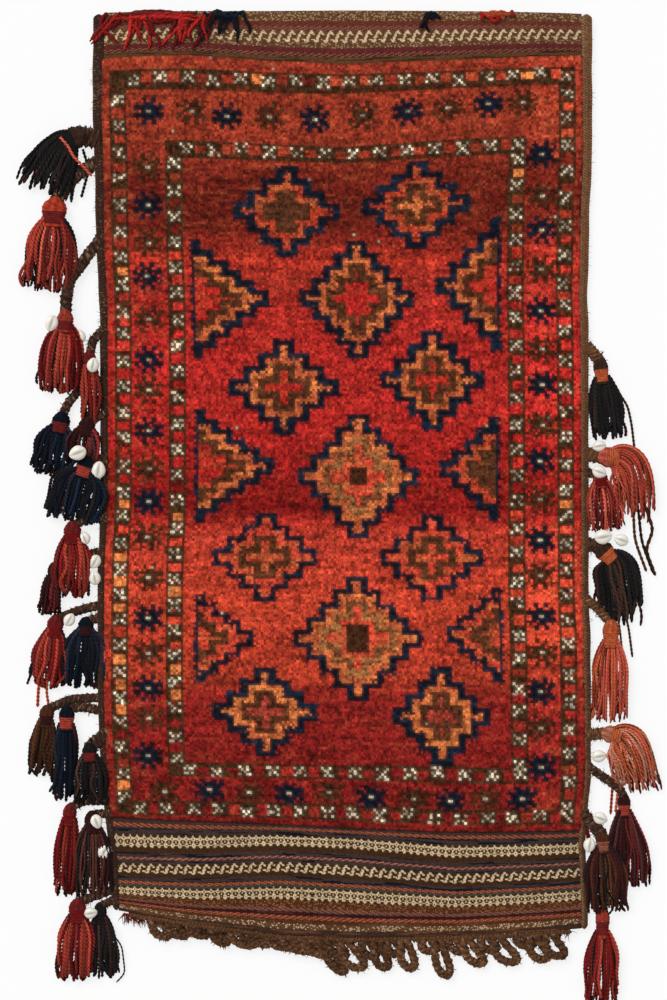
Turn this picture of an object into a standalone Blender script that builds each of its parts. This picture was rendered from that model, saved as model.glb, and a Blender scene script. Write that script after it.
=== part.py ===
"""A hand-woven storage bag with a knotted pile front, side tassels and closure loops.

The bag lies on its back. Its origin is the middle of the back's underside, +X is to the right,
+Y runs from the mouth to the folded end and +Z is up through the pile. All sizes are in metres.

One strip of cloth makes the back, the fold at the closed end and the front. The front carries
the knotted pile, hair bindings close both sides, and a cord with loops edges the mouth.
"""

import math
from dataclasses import dataclass

import bmesh
import bpy
import numpy as np
from mathutils import Vector
from mathutils.bvhtree import BVHTree

MM = 0.001

# Clearance between pieces that touch on the real bag
CLEARANCE = 0.3 * MM
SEAT_CLEARANCE = 1.5 * CLEARANCE

# Outline of the bag, seen from above, bindings included
FOLD_Y = 467 * MM
MOUTH_Y = -459 * MM
LEFT_AT_FOLD = -252 * MM
LEFT_AT_MOUTH = -231 * MM
RIGHT_AT_FOLD = 249 * MM
RIGHT_AT_MOUTH = 241 * MM
LEFT_CORNER_RISE = 27 * MM
SHOULDER_RISE = 9 * MM

# Cloth strip and the pocket between its two layers
CLOTH_THICKNESS = 2.4 * MM
POCKET_HEIGHT = 11 * MM
SHOULDER_HEIGHT = 7 * MM
EDGE_SLIT = 0.6 * MM
FOLD_SEGMENTS = 6
RIB_HEIGHT = 0.5 * MM

# Side bindings
BINDING_WIDTH = 10 * MM
BINDING_HEIGHT = 7 * MM
BINDING_PITCH = 30 * MM
BINDING_LOBE = 0.4 * MM

# Knotted pile, drawn on a lattice of blocks of knots
PILE_TOP_Y = 421 * MM
PILE_BOTTOM_Y = -348 * MM
PILE_INSET = 1.2 * MM
PILE_THICKNESS = 5 * MM
PILE_RELIEF = 0.8 * MM
COLUMNS = 74
ROWS = 122
SHOULDER_COLUMNS = 5
PLATEAU_COLUMNS = 11
FLAT_WITHIN = math.radians(0.6)

# Mouth cord and loops
CORD_RADIUS = 3 * MM
CORD_STEP = 20 * MM
LOOP_RADIUS = 2.6 * MM
LOOP_COUNT = 18
LOOP_SPREAD = 5.5 * MM
SHORT_LOOP = 15 * MM
LONG_LOOP = 33 * MM
SHORT_LOOPS = 6
LOOP_STAGGER = 3 * MM
LOOP_FALL = 0.7
WELD_WITHIN = 0.01 * MM

# Tassels
STEM_THICKNESS = 5 * MM
HEAD_THICKNESS = 10 * MM
SKIRT_THICKNESS = 8 * MM
TIP_THICKNESS = 5 * MM
HEAD_LENGTH = 13 * MM
TASSEL_SIDES = 8
FLUTE = 0.86
JAG = 5 * MM
STEM_STEP = 22 * MM
FOOTPRINT_STEP = 2.5 * MM

# Cowrie shells
SHELL_LENGTH = 16 * MM
SHELL_WIDTH = 12 * MM
SHELL_HEIGHT = 8 * MM
SHELL_TAPER = 0.12
DROP_FROM = 100 * MM

# Tufts at the fold
TUFT_THICKNESS = 3 * MM
TUFT_STEP = 10 * MM
TUFT_CLEARANCE = 0.6 * MM
TUFT_WAVE = 2.5 * MM
TUFT_END = 0.55

RED = "madder_red"
ORANGE = "brick_orange"
NAVY = "indigo_navy"
BROWN = "walnut_brown"
CREAM = "undyed_cream"
HAIR = "dark_goat_hair"
MAROON = "dark_maroon"
BLACK = "black_wool"
SHELL = "bleached_shell"

COLOURS = {
    RED: (0.33, 0.018, 0.012, 1.0),
    ORANGE: (0.52, 0.12, 0.03, 1.0),
    NAVY: (0.008, 0.013, 0.035, 1.0),
    BROWN: (0.06, 0.026, 0.01, 1.0),
    CREAM: (0.55, 0.45, 0.3, 1.0),
    HAIR: (0.035, 0.018, 0.01, 1.0),
    MAROON: (0.06, 0.008, 0.01, 1.0),
    BLACK: (0.01, 0.01, 0.012, 1.0),
    SHELL: (0.8, 0.76, 0.68, 1.0),
}


def clear_scene():
    """Remove every object of the open file."""
    for item in list(bpy.data.objects):
        bpy.data.objects.remove(item, do_unlink=True)


def material(name):
    """The Principled material of that name, made once."""
    found = bpy.data.materials.get(name)
    if found:
        return found
    made = bpy.data.materials.new(name)
    made.use_nodes = True
    made.diffuse_color = COLOURS[name]
    shader = made.node_tree.nodes["Principled BSDF"]
    shader.inputs["Base Color"].default_value = COLOURS[name]
    shader.inputs["Roughness"].default_value = 0.35 if name == SHELL else 0.9
    shader.inputs["Metallic"].default_value = 0.0
    return made


def add_object(name, bm, colours, smooth=False):
    """Turn a bmesh into a named object of the bag, with its colours in slot order."""
    bmesh.ops.recalc_face_normals(bm, faces=bm.faces)
    mesh = bpy.data.meshes.new(name)
    bm.to_mesh(mesh)
    bm.free()
    for colour in colours:
        mesh.materials.append(material(colour))
    if smooth:
        mesh.shade_smooth()
        mesh.set_sharp_from_angle(angle=math.radians(40))
    made = bpy.data.objects.new(name, mesh)
    bpy.data.collections["storage_bag"].objects.link(made)
    return made


def outer_edge(side, y):
    """X of the bag's outer edge at y: side is -1 for the left and +1 for the right."""
    along = (FOLD_Y - y) / (FOLD_Y - MOUTH_Y)
    if side < 0:
        return LEFT_AT_FOLD + along * (LEFT_AT_MOUTH - LEFT_AT_FOLD)
    return RIGHT_AT_FOLD + along * (RIGHT_AT_MOUTH - RIGHT_AT_FOLD)


def cloth_edge(side, y):
    """X of the cloth's own edge at y, inside the binding."""
    return outer_edge(side, y) - side * (BINDING_WIDTH + CLEARANCE)


def block_width():
    """Width of one block of knots in the flanks, where the lattice isn't tapered."""
    middle = 0.5 * (PILE_TOP_Y + PILE_BOTTOM_Y)
    return (cloth_edge(1, middle) - cloth_edge(-1, middle) - 2 * PILE_INSET) / COLUMNS


def shoulder_in():
    """Distance of the outer crease from the cloth's edge."""
    return PILE_INSET + SHOULDER_COLUMNS * block_width()


def plateau_in():
    """Distance of the inner crease, where the flat top starts, from the cloth's edge."""
    return PILE_INSET + PLATEAU_COLUMNS * block_width()


def pocket_height(inset):
    """Clear height between the two layers at a distance in from the cloth's edge."""
    distances = [0.0, shoulder_in(), plateau_in()]
    heights = [EDGE_SLIT, SHOULDER_HEIGHT, POCKET_HEIGHT]
    return float(np.interp(inset, distances, heights))


def inset_at(x, y):
    """Distance of a point from the nearer edge of the cloth, measured along X."""
    return min(x - cloth_edge(-1, y), cloth_edge(1, y) - x)


def front_top(x, y):
    """Height of the front cloth's upper side."""
    return 2 * CLOTH_THICKNESS + pocket_height(max(0.0, inset_at(x, y)))


def mouth_rise(side, inset):
    """How far the mouth's edge is drawn up: only the left corner of the bag is."""
    if side > 0:
        return 0.0
    rises = [LEFT_CORNER_RISE, SHOULDER_RISE, 0.0]
    return float(np.interp(inset, [0.0, shoulder_in(), plateau_in()], rises))


# Flat-woven bands, as distances from the edge of the pile to each rib and its colour
MOUTH_BANDS = (
    (4, 9, NAVY),
    (13, 21, CREAM),
    (28, 34, MAROON),
    (39, 48, CREAM),
    (54, 61, NAVY),
    (66, 75, CREAM),
    (83, 91, MAROON),
    (95, 103, BROWN),
)
FOLD_BANDS = (
    (6, 12, MAROON),
    (17, 28, CREAM),
    (32, 37, MAROON),
)


def cloth_profile(pocket):
    """Section of the folded strip in Y and Z, with the colour of each side that follows.

    It runs round the outside from the mouth: under the back, up the fold, along the front's ribs
    to the mouth, then back along the inside of the pocket.
    """
    outer_radius = CLOTH_THICKNESS + 0.5 * pocket
    fold_centre = FOLD_Y - outer_radius
    top = 2 * outer_radius
    points = [(MOUTH_Y, 0.0, HAIR)]
    for step in range(FOLD_SEGMENTS + 1):
        angle = math.pi * (step / FOLD_SEGMENTS - 0.5)
        points.append((fold_centre + outer_radius * math.cos(angle),
                       outer_radius * (1 + math.sin(angle)), HAIR))
    for start, end, colour in reversed(FOLD_BANDS):
        points += rib(PILE_TOP_Y + end * MM, PILE_TOP_Y + start * MM, top, colour)
    for start, end, colour in MOUTH_BANDS:
        points += rib(PILE_BOTTOM_Y - start * MM, PILE_BOTTOM_Y - end * MM, top, colour)
    points.append((MOUTH_Y, top, HAIR))
    points.append((MOUTH_Y, top - CLOTH_THICKNESS, HAIR))
    for step in range(FOLD_SEGMENTS + 1):
        angle = math.pi * (0.5 - step / FOLD_SEGMENTS)
        points.append((fold_centre + 0.5 * pocket * math.cos(angle),
                       outer_radius + 0.5 * pocket * math.sin(angle), HAIR))
    points.append((MOUTH_Y, CLOTH_THICKNESS, HAIR))
    return points


def rib(start_y, end_y, top, colour):
    """Four points of one raised band, from the fold towards the mouth."""
    return [(start_y, top, HAIR), (start_y, top + RIB_HEIGHT, colour),
            (end_y, top + RIB_HEIGHT, HAIR), (end_y, top, HAIR)]


def cloth_stations():
    """Side and inset of each section of the cloth, left to right, creases included."""
    insets = [0.0, shoulder_in(), plateau_in()]
    return [(-1, inset) for inset in insets] + [(1, inset) for inset in reversed(insets)]


def station_ring(bm, side, inset):
    """Place the strip's section at one station, drawn up at the mouth and tapered with the bag."""
    ring = []
    for y, z, _ in cloth_profile(pocket_height(inset)):
        below_pile = min(1.0, max(0.0, (PILE_BOTTOM_Y - y) / (PILE_BOTTOM_Y - MOUTH_Y)))
        drawn_y = y + mouth_rise(side, inset) * below_pile
        x = cloth_edge(side, drawn_y) - side * inset
        ring.append(bm.verts.new((x, drawn_y, z)))
    return ring


def build_cloth():
    """Loft the folded strip from side to side."""
    bm = bmesh.new()
    rings = [station_ring(bm, side, inset) for side, inset in cloth_stations()]
    slots = [HAIR, CREAM, NAVY, MAROON, BROWN]
    sides = [point[2] for point in cloth_profile(POCKET_HEIGHT)]
    for left, right in zip(rings, rings[1:]):
        for index, colour in enumerate(sides):
            after = (index + 1) % len(sides)
            face = bm.faces.new((left[index], left[after], right[after], right[index]))
            face.material_index = slots.index(colour)
    bm.faces.new(rings[0])
    bm.faces.new(reversed(rings[-1]))
    return add_object("bag_cloth", bm, slots)


def erode(mask):
    """The cells of a mask whose eight neighbours are all in it."""
    padded = np.pad(mask, 1)
    kept = mask.copy()
    for down in range(3):
        for across in range(3):
            kept &= padded[down:down + mask.shape[0], across:across + mask.shape[1]]
    return kept


def stepped_medallion(colours, row, column, steps):
    """Draw a stepped diamond of two-block steps: outline, orange ring, brown, red heart.

    A block is inside where its whole steps across and its whole steps up add to no more than
    the number of steps. Each colour is one ring of blocks, found by eroding the shape.
    """
    rows, columns = np.indices(colours.shape)
    across = np.abs(columns + 0.5 - column) // 2
    upward = np.abs(rows + 0.5 - row) // 2
    shape = across + upward <= steps
    field = (columns >= FIELD_FIRST) & (columns <= FIELD_LAST)
    rings = [NAVY, ORANGE, BROWN, BROWN]
    for colour in rings[:steps]:
        colours[shape & field] = colour
        shape = erode(shape)
    if steps > SMALL:
        colours[shape & field] = RED


def rosette(colours, row, column, colour):
    """Draw one rosette, a square of blocks without its corners."""
    reach = range(-ROSETTE_REACH, ROSETTE_REACH + 1)
    for down in reach:
        for across in reach:
            if abs(down) + abs(across) < 2 * ROSETTE_REACH:
                colours[row + down, column + across] = colour


# Rows and columns of the pattern, in blocks from the pile's lower left corner
GUARD_PITCH = 4
ROSETTE_PITCH = 6
ROSETTE_REACH = 2
ROSETTE_LEFT = 7
ROSETTE_RIGHT = COLUMNS - 7
ROSETTE_BOTTOM = 5
ROSETTE_TOP = ROWS - 9
GUARD_BLOCKS = 2
# First and last square of each guard: columns, then rows
OUTER_GUARD = (2, COLUMNS - 3, 0, ROWS - 4)
INNER_GUARD = (11, COLUMNS - 12, 9, ROWS - 15)
FIELD_FIRST = 14
FIELD_LAST = COLUMNS - 14
FIELD_BOTTOM = 12
FIELD_TOP = ROWS - 16
SMALL = 3
LARGE = 4
# Each row of medallions, from the fold to the mouth: its height, then each column and size
MEDALLION_ROWS = (
    (98, (28, SMALL), (49, SMALL)),
    (84, (16, LARGE), (40, LARGE), (61, LARGE)),
    (70, (28, SMALL), (51, SMALL)),
    (57, (17, LARGE), (40, LARGE), (61, LARGE)),
    (42, (25, SMALL), (51, SMALL)),
    (31, (16, SMALL), (40, LARGE), (62, SMALL)),
    (20, (25, SMALL), (53, SMALL)),
)


def spaced(first, last):
    """Starts of the guard squares between two corners, as near to the guard pitch as will fit."""
    count = round((last - first) / GUARD_PITCH)
    return [first + round(number * (last - first) / count) for number in range(count + 1)]


def guard_border(colours, border):
    """Draw a border of cream squares through the given corner squares."""
    left, right, bottom, top = border
    places = [(row, column) for column in spaced(left, right) for row in (bottom, top)]
    places += [(row, column) for row in spaced(bottom, top) for column in (left, right)]
    for row, column in places:
        colours[row:row + GUARD_BLOCKS, column:column + GUARD_BLOCKS] = CREAM


def rosette_border(colours):
    """Draw the border of rosettes, navy and brown in turn."""
    heights = range(ROSETTE_BOTTOM, ROSETTE_TOP + 1, ROSETTE_PITCH)
    for count, row in enumerate(heights):
        colour = BROWN if count % 2 else NAVY
        rosette(colours, row, ROSETTE_LEFT, colour)
        rosette(colours, row, ROSETTE_RIGHT, colour)
    columns = range(ROSETTE_LEFT + ROSETTE_PITCH, ROSETTE_RIGHT, ROSETTE_PITCH)
    for count, column in enumerate(columns):
        colour = NAVY if count % 2 else BROWN
        rosette(colours, ROSETTE_TOP, column, colour)
        rosette(colours, ROSETTE_BOTTOM, column, colour)


def pile_colours():
    """Colour of every block of the pile, worked out from the rules of its pattern."""
    colours = np.full((ROWS, COLUMNS), RED, dtype=object)
    guard_border(colours, OUTER_GUARD)
    guard_border(colours, INNER_GUARD)
    rosette_border(colours)
    for row, *medallions in MEDALLION_ROWS:
        for column, steps in medallions:
            stepped_medallion(colours, row, column, steps)
    return colours


def pile_x(column, y):
    """X of a lattice line: the flanks keep their block width and the middle takes the taper."""
    width = block_width()
    left = cloth_edge(-1, y) + PILE_INSET
    right = cloth_edge(1, y) - PILE_INSET
    if column <= PLATEAU_COLUMNS:
        return left + column * width
    if column >= COLUMNS - PLATEAU_COLUMNS:
        return right - (COLUMNS - column) * width
    share = (column - PLATEAU_COLUMNS) / (COLUMNS - 2 * PLATEAU_COLUMNS)
    start = left + PLATEAU_COLUMNS * width
    end = right - PLATEAU_COLUMNS * width
    return start + share * (end - start)


def pile_y(row):
    """Y of a lattice line."""
    return PILE_BOTTOM_Y + row / ROWS * (PILE_TOP_Y - PILE_BOTTOM_Y)


def build_pile():
    """A slab of pile on the front cloth, its medallions' outlines and dark rings standing proud.

    The guards and rosettes are fields of colour, level with the ground.
    """
    slots = [RED, ORANGE, NAVY, BROWN, CREAM]
    raised_slots = {slots.index(NAVY), slots.index(BROWN)}
    colours = pile_colours()
    bm = bmesh.new()
    bmesh.ops.create_grid(bm, x_segments=COLUMNS, y_segments=ROWS, size=0.5)
    slab = bmesh.ops.extrude_face_region(bm, geom=bm.faces[:])
    top_faces = [item for item in slab["geom"] if isinstance(item, bmesh.types.BMFace)]
    top_verts = [item for item in slab["geom"] if isinstance(item, bmesh.types.BMVert)]
    bmesh.ops.translate(bm, verts=top_verts, vec=(0, 0, PILE_THICKNESS))
    raised = []
    for face in top_faces:
        centre = face.calc_center_median()
        column = int((centre.x + 0.5) * COLUMNS)
        row = int((centre.y + 0.5) * ROWS)
        face.material_index = slots.index(colours[row, column])
        in_field = FIELD_FIRST <= column <= FIELD_LAST and FIELD_BOTTOM <= row <= FIELD_TOP
        if in_field and face.material_index in raised_slots:
            raised.append(face)
    pattern = bmesh.ops.extrude_face_region(bm, geom=raised)
    raised_verts = [item for item in pattern["geom"] if isinstance(item, bmesh.types.BMVert)]
    bmesh.ops.delete(bm, geom=[face for face in raised if face.is_valid], context="FACES")
    bmesh.ops.translate(bm, verts=raised_verts, vec=(0, 0, PILE_RELIEF))
    for vert in bm.verts:
        y = pile_y((vert.co.y + 0.5) * ROWS)
        x = pile_x((vert.co.x + 0.5) * COLUMNS, y)
        vert.co = (x, y, front_top(x, y) + CLEARANCE + vert.co.z)
    bmesh.ops.recalc_face_normals(bm, faces=bm.faces)
    bmesh.ops.dissolve_limit(bm, angle_limit=FLAT_WITHIN, verts=bm.verts, edges=bm.edges,
                             delimit={"MATERIAL"})
    bmesh.ops.triangulate(bm, faces=bm.faces)
    return add_object("knotted_pile", bm, slots)


def loft(bm, rings):
    """Skin closed rings of equal count and cap both ends with a fan of triangles."""
    for first, second in zip(rings, rings[1:]):
        count = len(first)
        for index in range(count):
            after = (index + 1) % count
            bm.faces.new((first[index], first[after], second[after], second[index]))
    for ring in (rings[0], rings[-1]):
        middle = sum((vert.co for vert in ring), Vector()) / len(ring)
        centre = bm.verts.new(middle)
        for index in range(len(ring)):
            bm.faces.new((ring[index], ring[(index + 1) % len(ring)], centre))


def build_binding(name, side):
    """Side binding of plaited hair: a rounded strip whose top swells at each plait."""
    corner = MOUTH_Y + mouth_rise(side, 0.0)
    fold_radius = CLOTH_THICKNESS + 0.5 * EDGE_SLIT
    start = corner + CLEARANCE
    end = FOLD_Y - fold_radius
    count = 2 * round((end - start) / (2 * BINDING_PITCH))
    # Section points as shares of the width, out from the cloth, and of the height
    section = ((0.0, 0.15), (0.0, 0.85), (0.35, 1.0), (0.75, 0.92), (1.0, 0.5), (0.75, 0.0),
               (0.2, 0.0))
    bm = bmesh.new()
    rings = []
    for step in range(count + 1):
        y = start + step / count * (end - start)
        swell = BINDING_LOBE if step % 2 else -BINDING_LOBE
        inner = cloth_edge(side, y) + side * CLEARANCE
        ring = [bm.verts.new((inner + side * across * BINDING_WIDTH, y,
                              up * (BINDING_HEIGHT + swell)))
                for across, up in section]
        rings.append(ring)
    loft(bm, rings)
    return add_object(name, bm, [HAIR], smooth=True)


def mouth_point(x):
    """Middle of the front cloth's edge at the mouth, from its X."""
    inset = inset_at(x, MOUTH_Y)
    side = -1 if x < 0 else 1
    y = MOUTH_Y + mouth_rise(side, max(0.0, inset))
    return Vector((x, y, front_top(x, y) - 0.5 * CLOTH_THICKNESS))


def tube(name, points, radius):
    """A round cord through the points, as a mesh with welded caps."""
    curve = bpy.data.curves.new(name, "CURVE")
    curve.dimensions = "3D"
    curve.bevel_depth = radius
    curve.bevel_resolution = 1
    curve.use_fill_caps = True
    spline = curve.splines.new("POLY")
    spline.points.add(len(points) - 1)
    for target, point in zip(spline.points, points):
        target.co = (*point, 1.0)
    guide = bpy.data.objects.new(name, curve)
    bpy.context.scene.collection.objects.link(guide)
    evaluated = guide.evaluated_get(bpy.context.evaluated_depsgraph_get())
    mesh = bpy.data.meshes.new_from_object(evaluated)
    bpy.data.objects.remove(guide, do_unlink=True)
    bm = bmesh.new()
    bm.from_mesh(mesh)
    bmesh.ops.remove_doubles(bm, verts=bm.verts, dist=WELD_WITHIN)
    bmesh.ops.recalc_face_normals(bm, faces=bm.faces)
    return bm


def loop_points(x, length):
    """Route of one loop: out of the mouth cord, down to the floor and back beside itself."""
    top = cord_point(x)
    low = max(LOOP_RADIUS, top.z - LOOP_FALL * length)
    middle = top + Vector((0, -0.45 * length, 0.35 * (low - top.z)))
    end = Vector((top.x, top.y - length, low))
    side = Vector((LOOP_SPREAD, 0, 0))
    near = Vector((0.55 * LOOP_SPREAD, 0, 0))
    turn = Vector((0, 0.3 * LOOP_SPREAD, 0))
    return [top - near, middle - side, end + turn - side, end - turn, end + turn + side,
            middle + side, top + near]


def cord_point(x):
    """Point of the mouth cord's axis, just outside the front cloth's edge.

    The clearance is kept square to the edge, so where the edge slopes the cord stands further
    off along Y.
    """
    edge = mouth_point(x)
    reach = CORD_RADIUS
    slope = max(abs(mouth_point(x + step).y - edge.y) / reach for step in (-reach, reach))
    gap = (CORD_RADIUS + SEAT_CLEARANCE) * math.hypot(1, slope)
    return Vector((edge.x, edge.y - gap, max(edge.z, CORD_RADIUS)))


def build_mouth_cord():
    """The cord along the mouth with its closure loops sewn on, as one solid."""
    y = MOUTH_Y + mouth_rise(-1, 0.0)
    start = cloth_edge(-1, y) + CORD_RADIUS
    end = cloth_edge(1, MOUTH_Y) - CORD_RADIUS
    creases = [cloth_edge(-1, y) + inset for inset in (shoulder_in(), plateau_in())]
    spans = [start] + creases + [end - plateau_in(), end - shoulder_in(), end]
    route = [cord_point(start)]
    for left, right in zip(spans, spans[1:]):
        count = max(1, round((right - left) / CORD_STEP))
        route += [cord_point(left + step / count * (right - left)) for step in range(1, count + 1)]
    cord = add_object("mouth_cord", tube("cord_route", route, CORD_RADIUS), [HAIR])
    loops = bmesh.new()
    for number in range(LOOP_COUNT):
        x = start + (number + 0.5) / LOOP_COUNT * (end - start)
        length = SHORT_LOOP if number < SHORT_LOOPS else LONG_LOOP - number % 3 * LOOP_STAGGER
        loop = tube("loop_route", loop_points(x, length), LOOP_RADIUS)
        mesh = bpy.data.meshes.new("loop")
        loop.to_mesh(mesh)
        loop.free()
        loops.from_mesh(mesh)
    mesh = bpy.data.meshes.new("closure_loops")
    loops.to_mesh(mesh)
    loops.free()
    cutter = bpy.data.objects.new("closure_loops", mesh)
    bpy.data.collections["cutters"].objects.link(cutter)
    cutter.hide_render = True
    cutter.display_type = "WIRE"
    union = cord.modifiers.new("sewn_loops", "BOOLEAN")
    union.operation = "UNION"
    union.object = cutter
    return cord


@dataclass
class Tassel:
    """One tassel lying beside the bag; points in millimetres, as seen from above.

    The stem leaves the binding at the height root, runs through the stem points to the head, and
    the skirt runs from there to its tip, through the elbow where there is one.
    """

    side: int
    root: float
    head: tuple
    tip: tuple
    colour: str
    stem: tuple = ()
    elbow: tuple = ()
    stem_width: float = 9
    head_width: float = 20
    skirt_width: float = 40


class Footprints:
    """What lies on the floor so far, as small squares with the height of their tops."""

    def __init__(self):
        """Start with a bare floor."""
        self.spots = np.zeros((0, 2))
        self.tops = np.zeros(0)

    def height_under(self, spots, reach):
        """Highest top within reach of any of the spots, or the floor."""
        apart = np.abs(self.spots[:, None, :] - spots[None, :, :]).max(axis=2)
        covered = (apart < reach).any(axis=1)
        if not covered.any():
            return 0.0
        return float(self.tops[covered].max()) + CLEARANCE

    def add(self, spots, top):
        """Remember a piece that has been laid down."""
        self.spots = np.vstack([self.spots, spots])
        self.tops = np.append(self.tops, np.full(len(spots), top))


@dataclass
class Station:
    """One section across a tassel: its middle, its width and thickness and its base height."""

    middle: Vector
    width: float
    thickness: float
    skirt: bool
    base: float = 0.0


def evenly(points, longest):
    """Add points to a route so that no stretch is longer than the given length."""
    route = [points[0]]
    for start, end in zip(points, points[1:]):
        pieces = max(1, math.ceil((end - start).length / longest))
        route += [start.lerp(end, piece / pieces) for piece in range(1, pieces + 1)]
    return route


def tassel_stations(tassel):
    """Sections of a tassel from the binding to the tip of its skirt."""
    root_y = tassel.root * MM
    root_x = outer_edge(tassel.side, root_y) + tassel.side * 2 * CLEARANCE
    head = Vector(tassel.head) * MM
    tip = Vector(tassel.tip) * MM
    waypoints = [Vector((root_x, root_y))] + [Vector(point) * MM for point in tassel.stem] + [head]
    stations = [Station(point, tassel.stem_width * MM, STEM_THICKNESS, False)
                for point in evenly(waypoints, STEM_STEP)[:-1]]
    bends = [Vector(tassel.elbow) * MM] if tassel.elbow else []
    first = (bends + [tip])[0]
    toward = (first - head).normalized()
    head_width = tassel.head_width * MM
    skirt_width = tassel.skirt_width * MM
    neck = head + toward * HEAD_LENGTH
    stations.append(Station(head, head_width, HEAD_THICKNESS, False))
    stations.append(Station(neck, 0.85 * head_width, 0.8 * HEAD_THICKNESS, False))
    if bends:
        stations.append(Station(bends[0], 0.8 * skirt_width, SKIRT_THICKNESS, True))
        middle = bends[0].lerp(tip, 0.5)
    else:
        stations.append(Station(neck.lerp(tip, 0.22), 0.75 * skirt_width, SKIRT_THICKNESS, True))
        middle = neck.lerp(tip, 0.6)
    stations.append(Station(middle, skirt_width, SKIRT_THICKNESS, True))
    stations.append(Station(tip, 0.94 * skirt_width, TIP_THICKNESS, True))
    return stations


def direction_at(stations, index):
    """Direction of the tassel at a station, from its neighbours."""
    before = stations[max(0, index - 1)].middle
    after = stations[min(len(stations) - 1, index + 1)].middle
    return (after - before).normalized()


def footprint(stations, index):
    """Spots under the stretch between a station and the next, and the height of its top."""
    first, second = stations[index], stations[index + 1]
    across_first = direction_at(stations, index).orthogonal().normalized()
    across_second = direction_at(stations, index + 1).orthogonal().normalized()
    length = (second.middle - first.middle).length + 0.25 * abs(second.width - first.width)
    along_steps = max(1, math.ceil(length / FOOTPRINT_STEP))
    across_steps = max(2, math.ceil(max(first.width, second.width) / FOOTPRINT_STEP))
    top = max(first.base + first.thickness, second.base + second.thickness)
    spots = []
    for along in np.linspace(0, 1, along_steps + 1):
        middle = first.middle.lerp(second.middle, along)
        across = across_first.lerp(across_second, along).normalized()
        width = first.width + along * (second.width - first.width)
        spots += [middle + across * (share * width)
                  for share in np.linspace(-0.5, 0.5, across_steps + 1)]
    return np.array([(spot.x, spot.y) for spot in spots]), top


def lay_down(stations, floor):
    """Give each station the base height that clears what lies under its two stretches."""
    stretches = range(len(stations) - 1)
    needed = [floor.height_under(footprint(stations, index)[0], FOOTPRINT_STEP)
              for index in stretches]
    for index, station in enumerate(stations):
        station.base = max(needed[max(0, index - 1):index + 1])
    for index in stretches:
        floor.add(*footprint(stations, index))


def build_tassel(name, tassel, floor):
    """Loft a tassel through its stations, with a fluted skirt and a jagged tip."""
    stations = tassel_stations(tassel)
    lay_down(stations, floor)
    bm = bmesh.new()
    rings = []
    for index, station in enumerate(stations):
        forward = direction_at(stations, index)
        if index == 0:
            forward = Vector((tassel.side, 0))
        across = Vector((-forward.y, forward.x))
        last = index == len(stations) - 1
        ring = []
        for corner in range(TASSEL_SIDES):
            angle = 2 * math.pi * corner / TASSEL_SIDES
            flute = FLUTE if station.skirt and corner % 2 else 1.0
            jag = JAG * (-1 if corner % 2 else 0.6) if last else 0.0
            spot = (station.middle + across * (0.5 * station.width * flute * math.cos(angle))
                    + forward * jag)
            up = 0.5 * station.thickness * (1 + flute * math.sin(angle))
            ring.append(bm.verts.new((spot.x, spot.y, station.base + up)))
        rings.append(ring)
    loft(bm, rings)
    return add_object(name, bm, [tassel.colour], smooth=True)


# Tassels of each side, from the fold to the mouth
LEFT_TASSELS = (
    Tassel(-1, 346, (-276, 344), (-297, 284), BLACK, elbow=(-294, 316), stem_width=22,
           head_width=28, skirt_width=54),
    Tassel(-1, 319, (-292, 273), (-297, 190), RED, stem=((-272, 303),), skirt_width=48),
    Tassel(-1, 241, (-282, 160), (-287, 82), RED, stem=((-266, 232), (-270, 200)),
           stem_width=12, skirt_width=37),
    Tassel(-1, 150, (-257, 136), (-255, 62), RED, head_width=12, skirt_width=17,
           stem_width=7),
    Tassel(-1, 100, (-283, 72), (-304, 8), NAVY, stem=((-270, 88),), head_width=18,
           skirt_width=28),
    Tassel(-1, 66, (-258, 58), (-266, 26), MAROON, head_width=16, skirt_width=22),
    Tassel(-1, 14, (-258, 14), (-270, -44), NAVY, elbow=(-265, -4), stem_width=14,
           head_width=20, skirt_width=50),
    Tassel(-1, -34, (-275, -52), (-275, -118), RED, skirt_width=36),
    Tassel(-1, -72, (-298, -92), (-303, -134), MAROON, stem=((-270, -80),), head_width=12,
           skirt_width=16),
    Tassel(-1, -126, (-289, -145), (-301, -212), RED, stem=((-268, -131),), head_width=18,
           skirt_width=34),
    Tassel(-1, -140, (-260, -146), (-260, -211), NAVY, head_width=19, skirt_width=40),
    Tassel(-1, -221, (-301, -232), (-310, -298), MAROON, stem=((-276, -222),),
           head_width=15, skirt_width=23),
    Tassel(-1, -244, (-282, -256), (-284, -320), NAVY, head_width=14, skirt_width=22),
    Tassel(-1, -262, (-255, -272), (-252, -328), BLACK, stem_width=10, head_width=15,
           skirt_width=27),
    Tassel(-1, -325, (-278, -337), (-281, -418), RED, head_width=14, skirt_width=22),
    Tassel(-1, -345, (-254, -352), (-255, -418), MAROON, head_width=15, skirt_width=24),
    Tassel(-1, -412, (-270, -432), (-272, -507), RED, stem=((-252, -421),),
           head_width=18, skirt_width=36),
    Tassel(-1, -428, (-244, -438), (-240, -505), BLACK, head_width=13, skirt_width=25,
           stem_width=7),
)
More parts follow.
